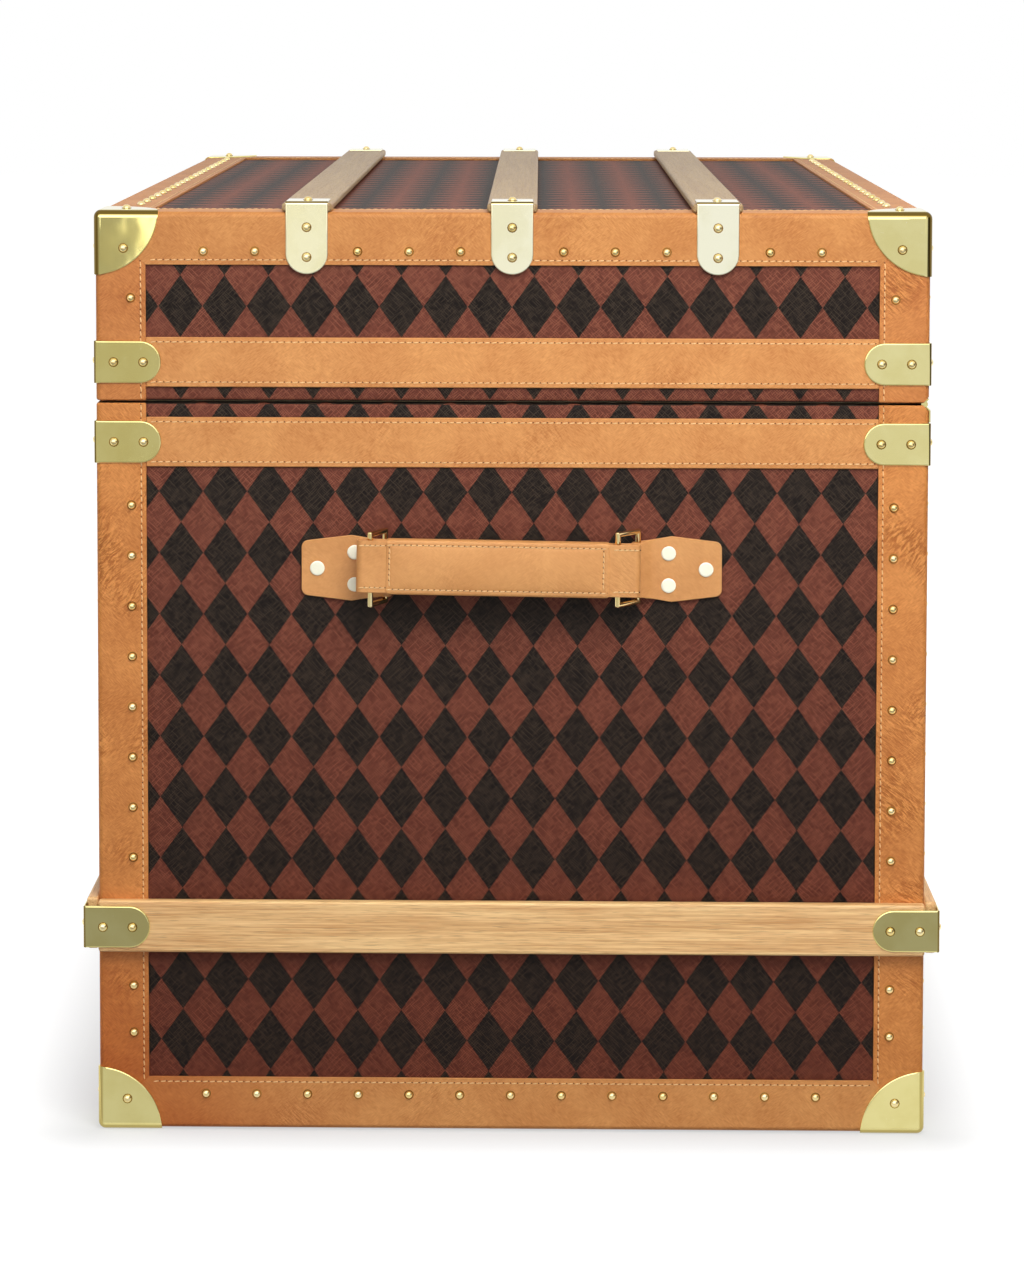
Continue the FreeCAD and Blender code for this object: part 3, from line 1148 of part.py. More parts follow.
def fitting_rivets():
    seam, offset = size(SEAM), size("sizes.band_offset") + size("sizes.band_height") / 2
    brass, belt = size("sizes.brass"), size("sizes.belt_thickness")
    body_places = at_corners(brass, seam - offset) + at_corners(brass + belt, size("sizes.belt_height"))
    body_places += cap_rivets(size("sizes.cap_rivet_up"), False)
    head = dome(size("sizes.rivet_radius"), size("sizes.rivet_rise"))
    rivets("body_rivets", body_places, head)
    lid_places = at_corners(brass, seam + offset) + tip_rivets()
    lid_places += cap_rivets(size(f"{TOP} - sizes.cap_rivet_down"), True)
    spread, rise = size("sizes.bracket_rivet_spread"), size("sizes.bracket_rivet_rise")
    for name, middle in HASPS:
        for side in (-1, 1):
            place = Vector(size(middle) + side * spread, -size(HALF_W) - brass, size(HASP_Z) + rise)
            lid_places.append((place, Vector(0, -1, 0)))
    rivets("lid_rivets", lid_places, head)
    strap_places = []
    for point, normal in anchor_rivets():
        strap_places += [(point, normal), (Vector(-point.x, -point.y, point.z), -normal)]
    flat = flat_head(size("sizes.strap_rivet_radius"), size("sizes.strap_rivet_rise"),
                     size("sizes.strap_rivet_bevel"))
    rivets("handle_rivets", strap_places, flat)


# ---------------------------------------------------------------- build, check and write

def build():
    notch = body_boards()
    lid_tool = lid_boards(notch)
    body_covering(notch)
    lid_covering(lid_tool)
    closing_lip()
    edging(notch, lid_tool)
    bands()
    clamps()
    corner_caps()
    belt_slats()
    lid_slats()
    hinge()
    closures()
    handles()
    tray()
    fitting_rivets()
    doc.recompute()


def check():
    for thing in doc.Objects:
        if "Invalid" in thing.State or "Error" in thing.State:
            raise RuntimeError(f"{thing.Label} did not build: {thing.State}")
    for piece in nodes:
        if piece.Shape.isNull() or not piece.Shape.isValid():
            raise RuntimeError(f"{piece.Label} has no valid shape")


def write():
    os.makedirs("parts", exist_ok=True)
    for piece in nodes:
        piece.Shape.exportStep(f"parts/{piece.Label}.step")
    print(len(nodes), "nodes written")


build()
check()
write()
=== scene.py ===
import math

import bmesh
import bpy
from mathutils import Matrix, Vector


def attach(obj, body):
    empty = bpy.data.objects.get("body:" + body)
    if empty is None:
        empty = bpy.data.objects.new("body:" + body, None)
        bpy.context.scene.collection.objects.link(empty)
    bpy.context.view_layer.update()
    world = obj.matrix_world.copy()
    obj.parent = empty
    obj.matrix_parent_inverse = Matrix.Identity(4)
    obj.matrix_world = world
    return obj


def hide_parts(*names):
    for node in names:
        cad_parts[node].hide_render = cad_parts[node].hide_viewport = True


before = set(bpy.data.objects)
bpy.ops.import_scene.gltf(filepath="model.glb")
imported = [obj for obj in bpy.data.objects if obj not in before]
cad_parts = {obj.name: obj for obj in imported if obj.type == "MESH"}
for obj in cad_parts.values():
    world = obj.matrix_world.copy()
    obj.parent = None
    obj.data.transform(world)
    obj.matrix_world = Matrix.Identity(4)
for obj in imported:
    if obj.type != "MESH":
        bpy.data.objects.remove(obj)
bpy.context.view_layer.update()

MM = 0.001

# The trunk over its leather, in millimetres. X runs along it, and the hasps face -Y.
HALF_LENGTH, HALF_WIDTH, HEIGHT, SEAM = 400.0, 275.0, 616.0, 490.0
FOOT, MOUTH, RIM = 1.2, SEAM - 0.8, SEAM + 0.8
STRIP, END_STRIP, HIDE, SHEET, CLOTH = 35.0, 33.2, 1.8, 1.2, 0.8
FOLD, BRASS_FOLD = 3.8, 2.0
BAND_LOW, BAND_HIGH = (447.0, 480.0), (500.0, 533.0)
SLAT_ROWS, SLAT_HALF, SLAT_DEEP = (-135.3, 0.0, 135.3), 16.5, 6.0
BELT, BELT_HALF, BELT_DEEP, BELT_GAP = 140.0, 17.4, 8.0, 0.5
PLATE_TALL, PLATE_REACH, LID_CLAMP, BODY_CLAMP, CAP_REACH = 28.0, 44.5, 502.5, 449.5, 43.0
TIP_HALF, TIP_DROP, TIP_REACH = 14.0, 41.0, 30.0
HINGE_Y, HINGE_HALF_ANGLE, HINGE_CUT = 272.0, 47, 1.2
CORNERS = [(x, y) for x in (-1, 1) for y in (-1, 1)]


# ---- camera and lamps

VIEW_WIDE, VIEW_TALL, SENSOR = 1024, 1280, 36
FOCAL, CENTRE_X, CENTRE_Y = 3474, 484.6, 218.9
CAMERA_PLACE, CAMERA_TURN = (2.6792, 0.0183, 0.7575), (0.917, 3.659, 0.088)


def place_camera():
    """Yaw, pitch and roll are in degrees; the focal length and optical centre are in units of the view."""
    yaw, pitch, roll = map(math.radians, CAMERA_TURN)
    ahead = Vector((-math.cos(yaw) * math.cos(pitch), -math.sin(yaw) * math.cos(pitch), -math.sin(pitch)))
    right = ahead.cross(Vector((0, 0, 1))).normalized()
    up = right.cross(ahead)
    across = right * math.cos(roll) + up * math.sin(roll)
    upright = up * math.cos(roll) - right * math.sin(roll)
    camera = bpy.data.objects.new("camera", bpy.data.cameras.new("camera"))
    bpy.context.collection.objects.link(camera)
    turn = Matrix((across, upright, -ahead)).transposed().to_4x4()
    camera.matrix_world = Matrix.Translation(CAMERA_PLACE) @ turn
    camera.data.sensor_width = SENSOR
    camera.data.lens = FOCAL * SENSOR / VIEW_TALL
    camera.data.shift_x = (VIEW_WIDE / 2 - CENTRE_X) / VIEW_TALL
    camera.data.shift_y = (CENTRE_Y - VIEW_TALL / 2) / VIEW_TALL
    camera.data.clip_start = 0.05
    bpy.context.scene.camera = camera


def soft_lamp(name, place, aim, side, watts):
    lamp = bpy.data.objects.new(name, bpy.data.lights.new(name, "AREA"))
    bpy.context.collection.objects.link(lamp)
    lamp.data.shape = "RECTANGLE"
    lamp.data.size = lamp.data.size_y = side
    lamp.data.energy = watts
    lamp.visible_glossy = lamp.visible_camera = False
    lamp.location = place
    lamp.rotation_euler = (Vector(aim) - Vector(place)).to_track_quat("-Z", "Y").to_euler()


# ---- node helpers

def tone(*steps):
    """A colour as it shows on a screen, from 0 to 255, made linear."""
    parts = [step / 255 for step in steps]
    return (*(part / 12.92 if part <= 0.04045 else ((part + 0.055) / 1.055) ** 2.4 for part in parts), 1)


class Wire:
    """A value in a node tree, which can be reckoned with as a number can."""

    def __init__(self, tree, socket):
        self.tree, self.socket = tree, socket

    def reckon(self, operation, *others, clamp=False):
        return lay("Math", dict(enumerate((self, *others))), operation=operation, use_clamp=clamp)[0]

    def __add__(self, other):
        return self.reckon("ADD", other)

    def __sub__(self, other):
        return self.reckon("SUBTRACT", other)

    def __mul__(self, other):
        return self.reckon("MULTIPLY", other)

    def __truediv__(self, other):
        return self.reckon("DIVIDE", other)

    def __abs__(self):
        return self.reckon("ABSOLUTE")

    def parts(self):
        """The three parts of a place, a colour or a direction."""
        made = lay("SeparateXYZ", {0: self})
        return made[0], made[1], made[2]


def lay(kind, plugs, tree=None, **settings):
    """Add a node; gives its outputs as wires, by number and by name."""
    if tree is None:
        tree = next(value.tree for value in plugs.values() if isinstance(value, Wire))
    node = tree.nodes.new("ShaderNode" + kind)
    for setting, value in settings.items():
        setattr(node, setting, value)
    for socket, value in plugs.items():
        if isinstance(value, Wire):
            tree.links.new(value.socket, node.inputs[socket])
        else:
            node.inputs[socket].default_value = value
    wires = [Wire(tree, socket) for socket in node.outputs]
    return {**dict(enumerate(wires)), **{wire.socket.name: wire for wire in wires}}


def use(group, plugs, tree=None):
    return lay("Group", plugs, tree, node_tree=group)


def coordinates(tree, kind="Object"):
    return lay("TexCoord", {}, tree)[kind]


def spread(value, low, high, to_low=0.0, to_high=1.0):
    """The value's stretch from low to high, made smooth from to_low to to_high."""
    return lay("MapRange", {0: value, 1: low, 2: high, 3: to_low, 4: to_high},
               interpolation_type="SMOOTHSTEP")[0]


def mixed(share, first, second, how="MIX"):
    return lay("Mix", {0: share, 6: first, 7: second}, data_type="RGBA", blend_type=how)[2]


def between(share, first, second):
    return lay("Mix", {0: share, 2: first, 3: second}, data_type="FLOAT")[0]


def vector(operation, first, second):
    return lay("VectorMath", {0: first, "Scale" if operation == "SCALE" else 1: second}, operation=operation)[0]


def clouds(where, scale, detail=2.0, roughness=0.5, warp=0.0, output=0):
    """Soft noise; output 1 gives it as three values."""
    return lay("TexNoise", {"Vector": where, "Scale": scale, "Detail": detail, "Roughness": roughness,
                            "Distortion": warp})[output]


def stretched(where, turn, scale):
    """The place turned first and then multiplied, so that lines can lie on the slant."""
    return lay("Mapping", {"Vector": where, "Rotation": turn, "Scale": tuple(1 / part for part in scale)},
               vector_type="TEXTURE")[0]


def effect(inputs, outputs):
    """Make a node group out of a function that draws it. Each input has a kind and a starting value."""
    def make(draw):
        tree = bpy.data.node_groups.new(draw.__name__, "ShaderNodeTree")
        for label, (kind, value) in inputs.items():
            socket = tree.interface.new_socket(label, in_out="INPUT", socket_type="NodeSocket" + kind)
            if value is not None:
                socket.default_value = value
        for label, kind in outputs.items():
            tree.interface.new_socket(label, in_out="OUTPUT", socket_type="NodeSocket" + kind)
        given = tree.nodes.new("NodeGroupInput").outputs
        out = tree.nodes.new("NodeGroupOutput").inputs
        for label, wire in zip(outputs, draw(tree, *(Wire(tree, given[label]) for label in inputs))):
            tree.links.new(wire.socket, out[label])
        return tree
    return make


# ---- effects shared by materials

FLAT = ("Vector", None)
WHITE, GREY = (1, 1, 1, 1), (0.5, 0.5, 0.5, 1)
TEXTURED = {"Color": "Color", "Roughness": "Float", "Height": "Float"}


@effect({}, {"Flat": "Vector"})
def flat_on_face(tree):
    """Where a point lies on the side of the trunk that it faces, across and up."""
    x, y, z = coordinates(tree).parts()
    turned_x, _, turned_z = coordinates(tree, "Normal").parts()
    on_end = abs(turned_x).reckon("GREATER_THAN", 0.7)
    on_top = abs(turned_z).reckon("GREATER_THAN", 0.7)
    return lay("CombineXYZ", {0: between(on_end, x, y), 1: between(on_top, z, y)})[0],


@effect({}, {"Foot": "Float", "Height": "Float"})
def painted_foot_shade(tree):
    """Painted shade: 1 over most of the trunk, falling toward its foot on the front; Height falls toward the
    bottom all round.
    """
    _, y, z = coordinates(tree).parts()
    return spread(z + (y + HALF_WIDTH * MM) * 0.9, 0.0, 0.2), spread(z, -0.1, 0.62)


@effect({}, {"Share": "Float"})
def bent_share(tree):
    """How far a surface is turned away from the trunk's own three directions; the brass takes its painted dark
    reflection by it.
    """
    x, y, z = lay("VectorMath", {0: coordinates(tree, "Normal")}, operation="ABSOLUTE")[0].parts()
    return spread(x.reckon("MAXIMUM", y).reckon("MAXIMUM", z), 0.99, 0.9),


@effect({"Flat": FLAT, "Half Width": ("Float", 0.0146), "Half Height": ("Float", 0.0205)}, {"Tone": "Float"})
def lozenges(tree, flat, half_width, half_height):
    """Upright lozenges in columns that take two tones in turn, with a slightly uneven printed edge."""
    nudge = vector("SUBTRACT", clouds(flat, 700.0, 1.0, output=1), (0.5, 0.5, 0.5))
    across, up, _ = vector("ADD", flat, vector("SCALE", nudge, 0.0006)).parts()
    across, up = across / half_width, up / half_height
    steps = [((line + 1.0) * 0.5).reckon("FLOOR") for line in (across + up, across - up)]
    return (steps[0] + steps[1]).reckon("PINGPONG", 1.0),


@effect({"Flat": FLAT, "Spacing": ("Float", 0.0013), "Wander": ("Float", 0.5)}, {"Strokes": "Float"})
def hatching(tree, flat, spacing, wander):
    """Fine broken strokes crossing on the slant, as a raised mask."""
    drift = clouds(flat, 60.0, 1.0) * 3.0
    sets = []
    for turn, seed in ((45, 0.0), (-46, 3.7), (58, 8.1), (-33, 5.3)):
        turned = lay("Mapping", {"Vector": flat, "Location": (seed, seed, 0),
                                 "Rotation": (0, 0, math.radians(turn))})[0]
        place = turned.parts()[0] / spacing + drift * wander
        stroke = spread(abs(place.reckon("FRACT") - 0.5), 0.08, 0.22, 1.0, 0.0)
        streak = lay("Mapping", {"Vector": turned, "Scale": (800, 110, 1)})[0]
        sets.append(stroke * spread(clouds(streak, 1.0, 1.0), 0.47, 0.58))
    strong, faint = (first.reckon("MAXIMUM", second) for first, second in (sets[:2], sets[2:]))
    return strong.reckon("MAXIMUM", faint * 0.55),


@effect({"Flat": FLAT, "Pale": ("Color", WHITE), "Deep": ("Color", GREY), "Wrinkles": ("Float", 0.5),
         "Hair": ("Float", 0.4), "Seed": ("Float", 0.0)}, TEXTURED)
def hide_grain(tree, flat, pale, deep, wrinkles, hairiness, seed):
    """Leather: soft mottling, slanting hair lines, patches of long wrinkles and fine pores; the wrinkles' light
    and dark sides are painted light and shade in the colour as well as bumped.
    """
    flat = vector("ADD", flat, seed)
    cloud = clouds(flat, 26.0, 3.0, 0.55)
    mottle = clouds(flat, 190.0, 3.0, 0.6)
    hairs = [clouds(stretched(flat, (0, 0, lean), scale), 1.0, 2.0, 0.6)
             for lean, scale in ((0.8, (2000, 230, 1)), (-0.95, (1900, 240, 1)))]
    hair = between(spread(clouds(flat, 30.0, 1.0), 0.4, 0.6), *hairs)
    curved = vector("ADD", flat, vector("SCALE", clouds(flat, 22.0, 1.0, output=1), 0.012))
    ridges = [clouds(stretched(curved, (0, 0, lean), scale), 1.0, 3.0, 0.6, 0.4)
              for lean, scale in ((0.85, (560, 130, 1)), (-0.7, (640, 150, 1)))]
    ridge = between(spread(clouds(flat, 11.0, 0.0), 0.42, 0.58), *ridges)
    patch = spread(clouds(flat, 17.0, 1.0), 0.48, 0.72)
    crease = (spread(ridge, 0.3, 0.7) - 0.5) * (patch * wrinkles)
    pores = clouds(flat, 2600.0, 1.0)
    # The crease term in the colour is painted light and shade of the wrinkles; in the height it is their bump.
    fine = spread(mottle, 0.3, 0.7) * 0.2 + (spread(hair, 0.36, 0.64) * hairiness + crease * 1.3)
    share = (spread(cloud, 0.3, 0.7) * 0.35).reckon("ADD", fine, clamp=True)
    return mixed(share, deep, pale), mottle * 0.16 + 0.4, crease * 4.0 + (pores * 0.3 + hair * hairiness)


@effect({"Along": FLAT, "Pale": ("Color", WHITE), "Deep": ("Color", GREY)}, TEXTURED)
def wood_grain(tree, along, pale, deep):
    """Open-pored wood with its grain along the first axis of Along."""
    broad, fine, pore = (clouds(stretched(along, (0, 0, 0), (long_, thin, thin)), 1.0, detail, roughness, warp)
                         for long_, thin, detail, roughness, warp in (
                             (5, 110, 3.0, 0.6, 0.6), (14, 760, 3.0, 0.7, 0.4), (70, 2600, 1.0, 0.5, 0.0)))
    pore = spread(pore, 0.58, 0.7)
    colour = mixed(spread(broad, 0.35, 0.65) * 0.4 + spread(fine, 0.36, 0.64) * 0.6, deep, pale)
    colour = mixed(pore * 0.55, colour, mixed(0.5, deep, (0.2, 0.1, 0.045, 1)))
    return colour, fine * 0.2 + 0.34, fine * 0.5 - pore


@effect({"Bright": ("Color", WHITE), "Dull": ("Color", GREY), "Gloss": ("Float", 0.12)}, TEXTURED)
def polish(tree, bright, dull, gloss):
    """Polished metal that has dulled in places, with hair scratches."""
    where = coordinates(tree)
    cloud = spread(clouds(where, 34.0, 3.0, 0.55), 0.35, 0.65)
    speck = spread(clouds(where, 500.0, 2.0), 0.72, 0.8)
    scratch = clouds(stretched(where, (0.3, 0.6, 0.2), (120, 4200, 4200)), 1.0, 1.0)
    colour = mixed(speck * 0.25, mixed(cloud, bright, dull), (1, 0.97, 0.8, 1))
    return colour, gloss + (cloud * 0.03 + scratch * 0.02), clouds(where, 30.0, 2.0) * 2.0


@effect({"Flat": FLAT, "Pitch": ("Float", 0.0008), "Warp": ("Color", WHITE),
         "Weft": ("Color", (0.8, 0.8, 0.8, 1))}, {"Color": "Color", "Height": "Float"})
def weave(tree, flat, pitch, warp, weft):
    """Plain-woven cloth: threads over and under."""
    wobble = clouds(flat, 260.0, 2.0)
    across, up, _ = flat.parts()
    waves = [((place / pitch + wobble) * math.pi).reckon("SINE") for place in (across, up)]
    over = waves[0] * waves[1]
    colour = mixed(spread(over, -0.4, 0.4), warp, weft)
    return mixed(spread(wobble, 0.35, 0.65) * 0.25, colour, weft), abs(over)


# ---- materials

LOOKS = {}


def new_material(name):
    material = LOOKS[name] = bpy.data.materials.new(name)
    material.use_nodes = True
    material.node_tree.nodes.clear()
    return material.node_tree


def surface(colour, roughness, plugs, height=None, depth=0.0):
    """The shader, its bump and the output."""
    plugs = {"Base Color": colour, "Roughness": roughness, **plugs}
    if height is not None:
        plugs["Normal"] = lay("Bump", {"Height": height, "Distance": depth, "Strength": 1.0})[0]
    lay("OutputMaterial", {"Surface": lay("BsdfPrincipled", plugs)[0]})


def canvas_material(name):
    tree = new_material(name)
    flat = use(flat_on_face, {}, tree)["Flat"]
    strokes = use(hatching, {"Flat": flat})["Strokes"]
    cloud = spread(clouds(flat, 60.0, 3.0), 0.3, 0.7)
    brown = mixed(strokes * 0.5, mixed(cloud, tone(91, 45, 33), tone(101, 51, 38)), tone(172, 106, 78))
    black = mixed(strokes * 0.4, mixed(cloud, tone(16, 11, 9), tone(22, 16, 13)), tone(96, 80, 64))
    colour = mixed(use(lozenges, {"Flat": flat})["Tone"], brown, black)
    # Painted shade: the canvas darkens toward the bottom.
    painted_height_shade = mixed(use(painted_foot_shade, {}, tree)["Height"], (0.7, 0.55, 0.46, 1), WHITE)
    surface(mixed(1.0, colour, painted_height_shade, "MULTIPLY"), 0.58, {"Specular IOR Level": 0.14}, strokes, 0.00008)


def leather_material(name, pale, deep, wrinkles, hair, seed):
    tree = new_material(name)
    hide = use(hide_grain, {"Flat": use(flat_on_face, {}, tree)["Flat"], "Pale": tone(*pale),
                            "Deep": tone(*deep), "Wrinkles": wrinkles, "Hair": hair, "Seed": seed})
    # Painted shade: the hide darkens toward its foot on the front.
    foot = mixed(use(painted_foot_shade, {}, tree)["Foot"], (0.74, 0.45, 0.25, 1), WHITE)
    surface(mixed(1.0, hide["Color"], foot, "MULTIPLY"), hide["Roughness"], {"Specular IOR Level": 0.22},
            hide["Height"], 0.00012)


def brass_material(name, bright, dull, gloss, bend=None):
    """Polished brass; where it is bent it may take a darker colour, a painted dark reflection."""
    tree = new_material(name)
    metal = use(polish, {"Bright": tone(*bright), "Dull": tone(*dull), "Gloss": gloss}, tree)
    colour = metal["Color"]
    if bend is not None:
        # Painted reflection: the bend darkens as a dark reflection would.
        colour = mixed(use(bent_share, {}, tree)["Share"], colour, tone(*bend))
    surface(colour, metal["Roughness"], {"Metallic": 1.0}, metal["Height"], 0.00006)


def wood_material(name, pale, deep, turn):
    """Wood whose grain lies along X, turned by some degrees about Z."""
    tree = new_material(name)
    along = lay("Mapping", {"Vector": coordinates(tree), "Rotation": (0, 0, math.radians(turn))})[0]
    wood = use(wood_grain, {"Along": along, "Pale": tone(*pale), "Deep": tone(*deep)})
    surface(wood["Color"], wood["Roughness"], {"Specular IOR Level": 0.5}, wood["Height"], 0.00008)


def speckled_material(name, scale, first, second, roughness, plugs):
    colour = mixed(clouds(coordinates(new_material(name)), scale), tone(*first), tone(*second))
    surface(colour, roughness, plugs)


def thread_material(name):
    ply = clouds(coordinates(new_material(name)), 1800.0, 2.0)
    surface(mixed(spread(ply, 0.35, 0.65), tone(216, 172, 112), tone(238, 204, 150)), 0.55, {}, ply, 0.0001)


def lining_material(name):
    flat = use(flat_on_face, {}, new_material(name))["Flat"]
    cloth = use(weave, {"Flat": flat, "Warp": tone(205, 188, 158), "Weft": tone(184, 164, 132)})
    surface(cloth["Color"], 0.85, {}, cloth["Height"], 0.00015)


def make_materials():
    canvas_material("printed_canvas")
    for name, pale, deep, wrinkles, hair, seed in (
            ("edging_leather", (223, 158, 92), (188, 118, 60), 0.4, 0.45, 0.0),
            # Painted shade: a darker copy of the edging leather, for the edging at the top.
            ("top_edge_leather", (212, 147, 82), (176, 108, 52), 0.4, 0.45, 2.0),
            ("upright_leather", (224, 149, 78), (177, 102, 43), 1.3, 0.45, 7.0),
            ("lid_upright_leather", (212, 139, 74), (168, 95, 42), 1.3, 0.45, 4.0),
            ("handle_leather", (226, 165, 102), (200, 137, 78), 0.35, 0.28, 3.0)):
        leather_material(name, pale, deep, wrinkles, hair, seed)
    yellow, pale = ((237, 226, 156), (230, 217, 144)), ((246, 242, 208), (240, 235, 196))
    # The bend tones of the bent brasses are painted dark reflections.
    for name, tones, gloss, bend in (
            ("polished_brass", yellow, 0.02, None), ("bent_brass", yellow, 0.02, (120, 98, 44)),
            ("foot_bent_brass", yellow, 0.1, (196, 178, 108)), ("pale_brass", pale, 0.05, None),
            ("pale_bent_brass", pale, 0.05, (128, 106, 52)),
            ("nail_brass", ((250, 232, 176), (238, 212, 142)), 0.05, None),
            ("gold_rim", ((236, 190, 92), (214, 162, 70)), 0.15, None),
            ("brass_rim_painted_shade", ((150, 112, 52), (110, 78, 34)), 0.3, None)):
        brass_material(name, *tones, gloss, bend)
    oak, board = ((252, 212, 148), (212, 152, 90)), ((214, 190, 150), (190, 160, 118))
    # The first oak, for the top slats, is a darker, greyer copy of the oak: painted shade and sheen.
    for name, tones, turn in (("oak_along_painted_shade_and_sheen", ((178, 150, 106), (150, 116, 74)), 0), ("oak_across", oak, -90),
                              ("oak_side", oak, 0), ("board_along", board, 0), ("board_across", board, -90)):
        wood_material(name, *tones, turn)
    # Painted shade of the stitch holes.
    speckled_material("stitch_hole_painted_shade", 2000.0, (70, 38, 18), (110, 62, 30), 0.9, {})
    speckled_material("cream_enamel", 600.0, (255, 253, 232), (248, 244, 216), 0.25, {"Coat Weight": 0.4})
    thread_material("waxed_thread")
    lining_material("lining_cloth")


# ---- modelling helpers

def put_down():
    if bpy.context.mode != "OBJECT":
        bpy.ops.object.mode_set(mode="OBJECT")
    bpy.ops.object.select_all(action="DESELECT")


def hold(*pieces):
    put_down()
    for piece in pieces:
        piece.select_set(True)
    bpy.context.view_layer.objects.active = pieces[0]


def settle_place(piece):
    hold(piece)
    bpy.ops.object.transform_apply(location=True, rotation=True, scale=True)
    return piece


def keep(name):
    """Name the new primitive and settle its place into its mesh."""
    piece = bpy.context.object
    piece.name = piece.data.name = name
    return settle_place(piece)


def discard(piece):
    hold(piece)
    bpy.ops.object.delete()


def block(name, corner, opposite):
    put_down()
    middle = [(a + b) / 2 * MM for a, b in zip(corner, opposite)]
    size = [abs(b - a) * MM for a, b in zip(corner, opposite)]
    bpy.ops.mesh.primitive_cube_add(size=1, location=middle, scale=size)
    return keep(name)


def middle_of(part):
    return sum((corner.co for corner in part.verts), Vector()) / len(part.verts) / MM


def choose(piece, kind, wanted):
    """Open the piece with only the wanted corners, edges or faces selected."""
    hold(piece)
    bpy.ops.object.mode_set(mode="EDIT")
    bpy.ops.mesh.select_mode(type=kind)
    bpy.ops.mesh.select_all(action="DESELECT")
    shape = bmesh.from_edit_mesh(piece.data)
    for part in {"VERT": shape.verts, "EDGE": shape.edges, "FACE": shape.faces}[kind]:
        if wanted(part):
            part.select_set(True)
    shape.select_flush_mode()
    bmesh.update_edit_mesh(piece.data)


def choose_all(piece):
    choose(piece, "VERT", lambda corner: True)


def near(first, second, slack=0.05):
    return abs(first - second) < slack


def bend(radius, segments, affect="EDGES"):
    """Round the selected edges or corners."""
    bpy.ops.mesh.bevel(offset=radius * MM, offset_type="OFFSET", segments=segments, affect=affect)


def settle(piece, kind, **settings):
    """Add a modifier and apply it."""
    hold(piece)
    modifier = piece.modifiers.new(kind.lower(), kind)
    for setting, value in settings.items():
        setattr(modifier, setting, value)
    bpy.ops.object.modifier_apply(modifier=modifier.name)


def smooth(piece, angle):
    hold(piece)
    bpy.ops.object.shade_smooth_by_angle(angle=math.radians(angle))


def thicken(piece, gauge):
    settle(piece, "SOLIDIFY", thickness=gauge * MM, offset=-1, use_even_offset=True)


def soften(piece, width, segments=2, angle=50, mirror=False):
    """Ease the sharp edges; on mirror-like metal the broad faces stay quite flat."""
    settle(piece, "BEVEL", width=width * MM, segments=segments, limit_method="ANGLE",
           angle_limit=math.radians(angle), harden_normals=False, use_clamp_overlap=True)
    smooth(piece, 62)
    broad = 0.00015
    for face in piece.data.polygons:
        if mirror and face.area > broad:
            face.use_smooth = False
    settle(piece, "WEIGHTED_NORMAL", keep_sharp=True, weight=100)
    return piece


def outer_shell(name, corner, opposite, facing):
    """Only the faces of a block that look one of the given ways."""
    piece = block(name, corner, opposite)
    choose(piece, "FACE", lambda face: all(face.normal.dot(Vector(way)) < 0.9 for way in facing))
    bpy.ops.mesh.delete(type="FACE")
    return piece


def round_folds(piece, radius, segments=3, finishes=()):
    """Round each edge between two faces of a shell; the bent faces take the second of two finishes."""
    choose(piece, "EDGE", lambda edge: len(edge.link_faces) == 2)
    bend(radius, segments)
    put_down()
    for finish in finishes:
        piece.data.materials.append(LOOKS[finish])
    for face in piece.data.polygons:
        face.material_index = int(bool(finishes) and max(abs(part) for part in face.normal) < 0.999)


def joined(name, pieces):
    hold(*pieces)
    if len(pieces) > 1:
        bpy.ops.object.join()
    whole = bpy.context.object
    whole.name = whole.data.name = name
    return whole


def another(piece):
    """A copy with its own mesh."""
    hold(piece)
    bpy.ops.object.duplicate(linked=False)
    return bpy.context.object


def placed(piece, place):
    piece.matrix_world = place
    return settle_place(piece)


def spin(degrees, axis="Z"):
    return Matrix.Rotation(math.radians(degrees), 4, axis)


def finished(piece, body, slot, look, *stands_for):
    """Give the piece its body and its look, unless it has its own already. The slot is not used."""
    if look is not None:
        piece.data.materials.clear()
        piece.data.materials.append(LOOKS[look])
    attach(piece, body)
    if stands_for:
        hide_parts(*stands_for)
    return piece


# ---- leather edging and bands

SOFT_EDGE, CORNER_CUT, SEAM_ROUND = 0.75, 3.6, 1.4


def leather_angle(outer, inner, facing, axis, cuts):
    """A strip of leather folded over an edge of the trunk, outer being a corner on the fold and inner the one
    opposite. cuts gives the ends along the axis that are cut on the slant, each with its way inward."""
    piece = outer_shell("strip", outer, inner, facing)
    for place, inward in cuts:
        for flange in {0, 1, 2} - {axis}:
            choose(piece, "VERT", lambda corner: near(corner.co[axis] / MM, place)
                   and not near(corner.co[flange] / MM, outer[flange]))
            shift = [0, 0, 0]
            shift[axis] = inward * MM * (END_STRIP if (axis, flange) == (1, 2) else STRIP)
            bpy.ops.transform.translate(value=shift)
    round_folds(piece, FOLD, 4)
    thicken(piece, HIDE)
    for place, _ in cuts:
        clip_corner(piece, Vector([place if way == axis else outer[way] for way in range(3)]))
    return piece


def clip_corner(piece, corner):
    """Cut the leather back a little at the trunk's corner, under the brass."""
    outward = Vector([math.copysign(1, part) for part in corner])
    outward[2] = 1 if corner.z > SEAM else -1
    outward.normalize()
    choose_all(piece)
    bpy.ops.mesh.bisect(plane_co=(corner - outward * CORNER_CUT) * MM, plane_no=outward, use_fill=True,
                        clear_outer=True)


